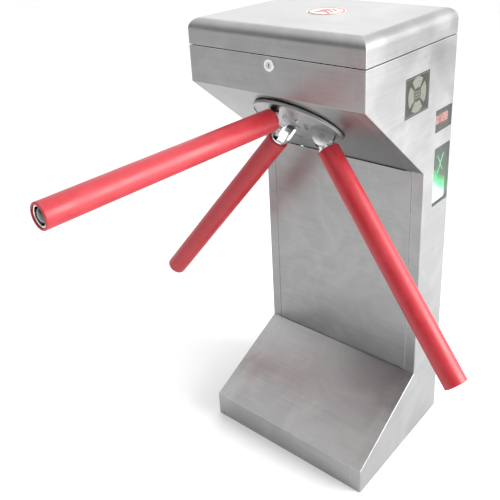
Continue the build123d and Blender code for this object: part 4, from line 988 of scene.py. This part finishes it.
def model_guide(name):
    """A thin plate with rounded corners and edges."""
    piece = bench_block(name, GUIDE_WIDTH, GUIDE_HEIGHT, GUIDE_THICKNESS)
    pick(piece, "EDGE", lambda edge: abs(edge.verts[0].co.z - edge.verts[1].co.z) > NEAR)
    bpy.ops.mesh.bevel(offset=GUIDE_WIDTH * GUIDE_CORNER_SHARE, segments=GUIDE_CORNER_STEPS,
                       affect="EDGES")
    pick(piece, "FACE", flat_end)
    bpy.ops.mesh.inset(thickness=GUIDE_THICKNESS, depth=GUIDE_THICKNESS * GUIDE_RAISE_SHARE,
                       use_individual=True)
    end_shaping()
    return piece


def fit_indicator_lamps():
    """Lit lamps low in each indicator, a clouded guide over them with their spilled glow painted on it, and
    crossed light pipes above.
    """
    low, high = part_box("indicator_boards")
    for side, hand, board in ((1, "right", high.x), (-1, "left", low.x)):
        face = side_place("indicator_windows", side, board + side * LAMP_COLLAR / 2)
        pattern = model_lamp("lamp")
        lit = []
        for row in range(LIT_ROWS):
            up = (row - (LAMP_ROWS - 1) / 2) * LAMP_PITCH
            for column in range(LAMP_COLUMNS):
                across = (column - (LAMP_COLUMNS - 1) / 2) * LAMP_PITCH
                lit.append(copy_piece(pattern, "lamp", face @ Matrix.Translation((across, up, 0))))
        bpy.data.objects.remove(pattern)
        hand_over(join_pieces(lit, f"indicator_lamps_{hand}"), "cabinet", LAMP_GREEN, "board_green")
        guide = model_guide(f"indicator_guide_{hand}")
        set_in_place(guide, face @ Matrix.Translation((0, 0, LAMP_TOP + GUIDE_GAP)))
        hand_over(guide, "cabinet", GUIDE_PAINTED_GLOW, "window_dark")
        pipes = []
        for lean in (1, -1):
            pipe = model_bar("pipe", PIPE_LENGTH, PIPE_WIDTH, PIPE_WIDTH)
            lift = PIPE_LIFT + lean * PIPE_WIDTH * PIPE_SPREAD_SHARE
            crossing = Matrix.Translation((0, PIPE_ROWS_UP * LAMP_PITCH, lift))
            set_in_place(pipe, face @ crossing @ Matrix.Rotation(lean * PIPE_LEAN, 4, "Z"))
            pipes.append(pipe)
        hand_over(join_pieces(pipes, f"indicator_pipes_{hand}"), "cabinet", LAMP_PALE,
                  "window_dark")


fit_sleeves()
fit_caps()
fit_badge()
fit_reader_marks()
fit_counter_digits()
fit_indicator_lamps()


# ================================================================ floor, light and camera
def studio_floor():
    finish, tree, shader, place = start_finish("studio floor", Roughness=0.8)
    grit = use(tree, GRIT, {"Vector": place["Object"], "Scale": 60.0})
    tree.links.new(blend(tree, grit["Coarse"], colour(0.80, 0.80, 0.80), colour(0.84, 0.84, 0.84)),
                   shader["Base Color"])
    bpy.ops.object.select_all(action="DESELECT")
    bpy.ops.mesh.primitive_plane_add(size=FLOOR_SIZE, location=(0, 0, 0))
    floor = bpy.context.object
    floor.name = "studio_floor"
    floor.data.materials.append(finish)


def studio_sky():
    """A pale surround, darker on the arms' side and brighter above and behind."""
    world = bpy.data.worlds.new("surround")
    bpy.context.scene.world = world
    world.use_nodes = True
    tree = world.node_tree
    direction = node(tree, "ShaderNodeTexCoord").outputs["Generated"]
    lit_from = node(tree, "ShaderNodeVectorMath", {0: direction, 1: SKY_BRIGHT_WAY},
                    operation="DOT_PRODUCT")
    share = spread(tree, lit_from.outputs["Value"], 0.0, 1.0, -1.0, 1.0)
    feed(tree, tree.nodes["Background"].inputs,
         {"Color": ramp(tree, share, SKY_SHADES), "Strength": SKY_STRENGTH})


def soft_light(name, place, aim, size, power):
    lamp = bpy.data.lights.new(name, "AREA")
    lamp.shape = "RECTANGLE"
    lamp.size, lamp.size_y = size
    lamp.energy = power
    light = bpy.data.objects.new(name, lamp)
    light.location = place
    light.rotation_euler = (Vector(aim) - Vector(place)).to_track_quat("-Z", "Y").to_euler()
    bpy.context.scene.collection.objects.link(light)


def set_camera():
    place = Vector((0.805, -1.139, 1.238))
    heading = Vector((-0.595, 0.7084, -0.3797))
    roll = radians(-2.4)
    data = bpy.data.cameras.new("camera")
    data.sensor_width = 36.0
    data.lens = 49.5
    data.shift_x = -0.043
    data.shift_y = -0.164
    data.clip_start = 0.01
    camera = bpy.data.objects.new("camera", data)
    aim = heading.to_track_quat("-Z", "Y").to_matrix().to_4x4()
    camera.matrix_world = Matrix.Translation(place) @ aim @ Matrix.Rotation(roll, 4, "Z")
    bpy.context.scene.collection.objects.link(camera)
    bpy.context.scene.camera = camera


studio_floor()
studio_sky()
soft_light("top softbox", (0.2, 0.3, 3.2), (0, 0, 0.6), (2.6, 2.6), 10)
soft_light("reader side softbox", (2.6, 0.9, 1.5), (0.2, 0.1, 0.5), (2.2, 2.2), 135)
soft_light("back softbox", (-2.1, 2.5, 2.4), (0, 0, 1.0), (2.4, 1.6), 10)
set_camera()
bpy.context.scene.view_settings.view_transform = "Standard"
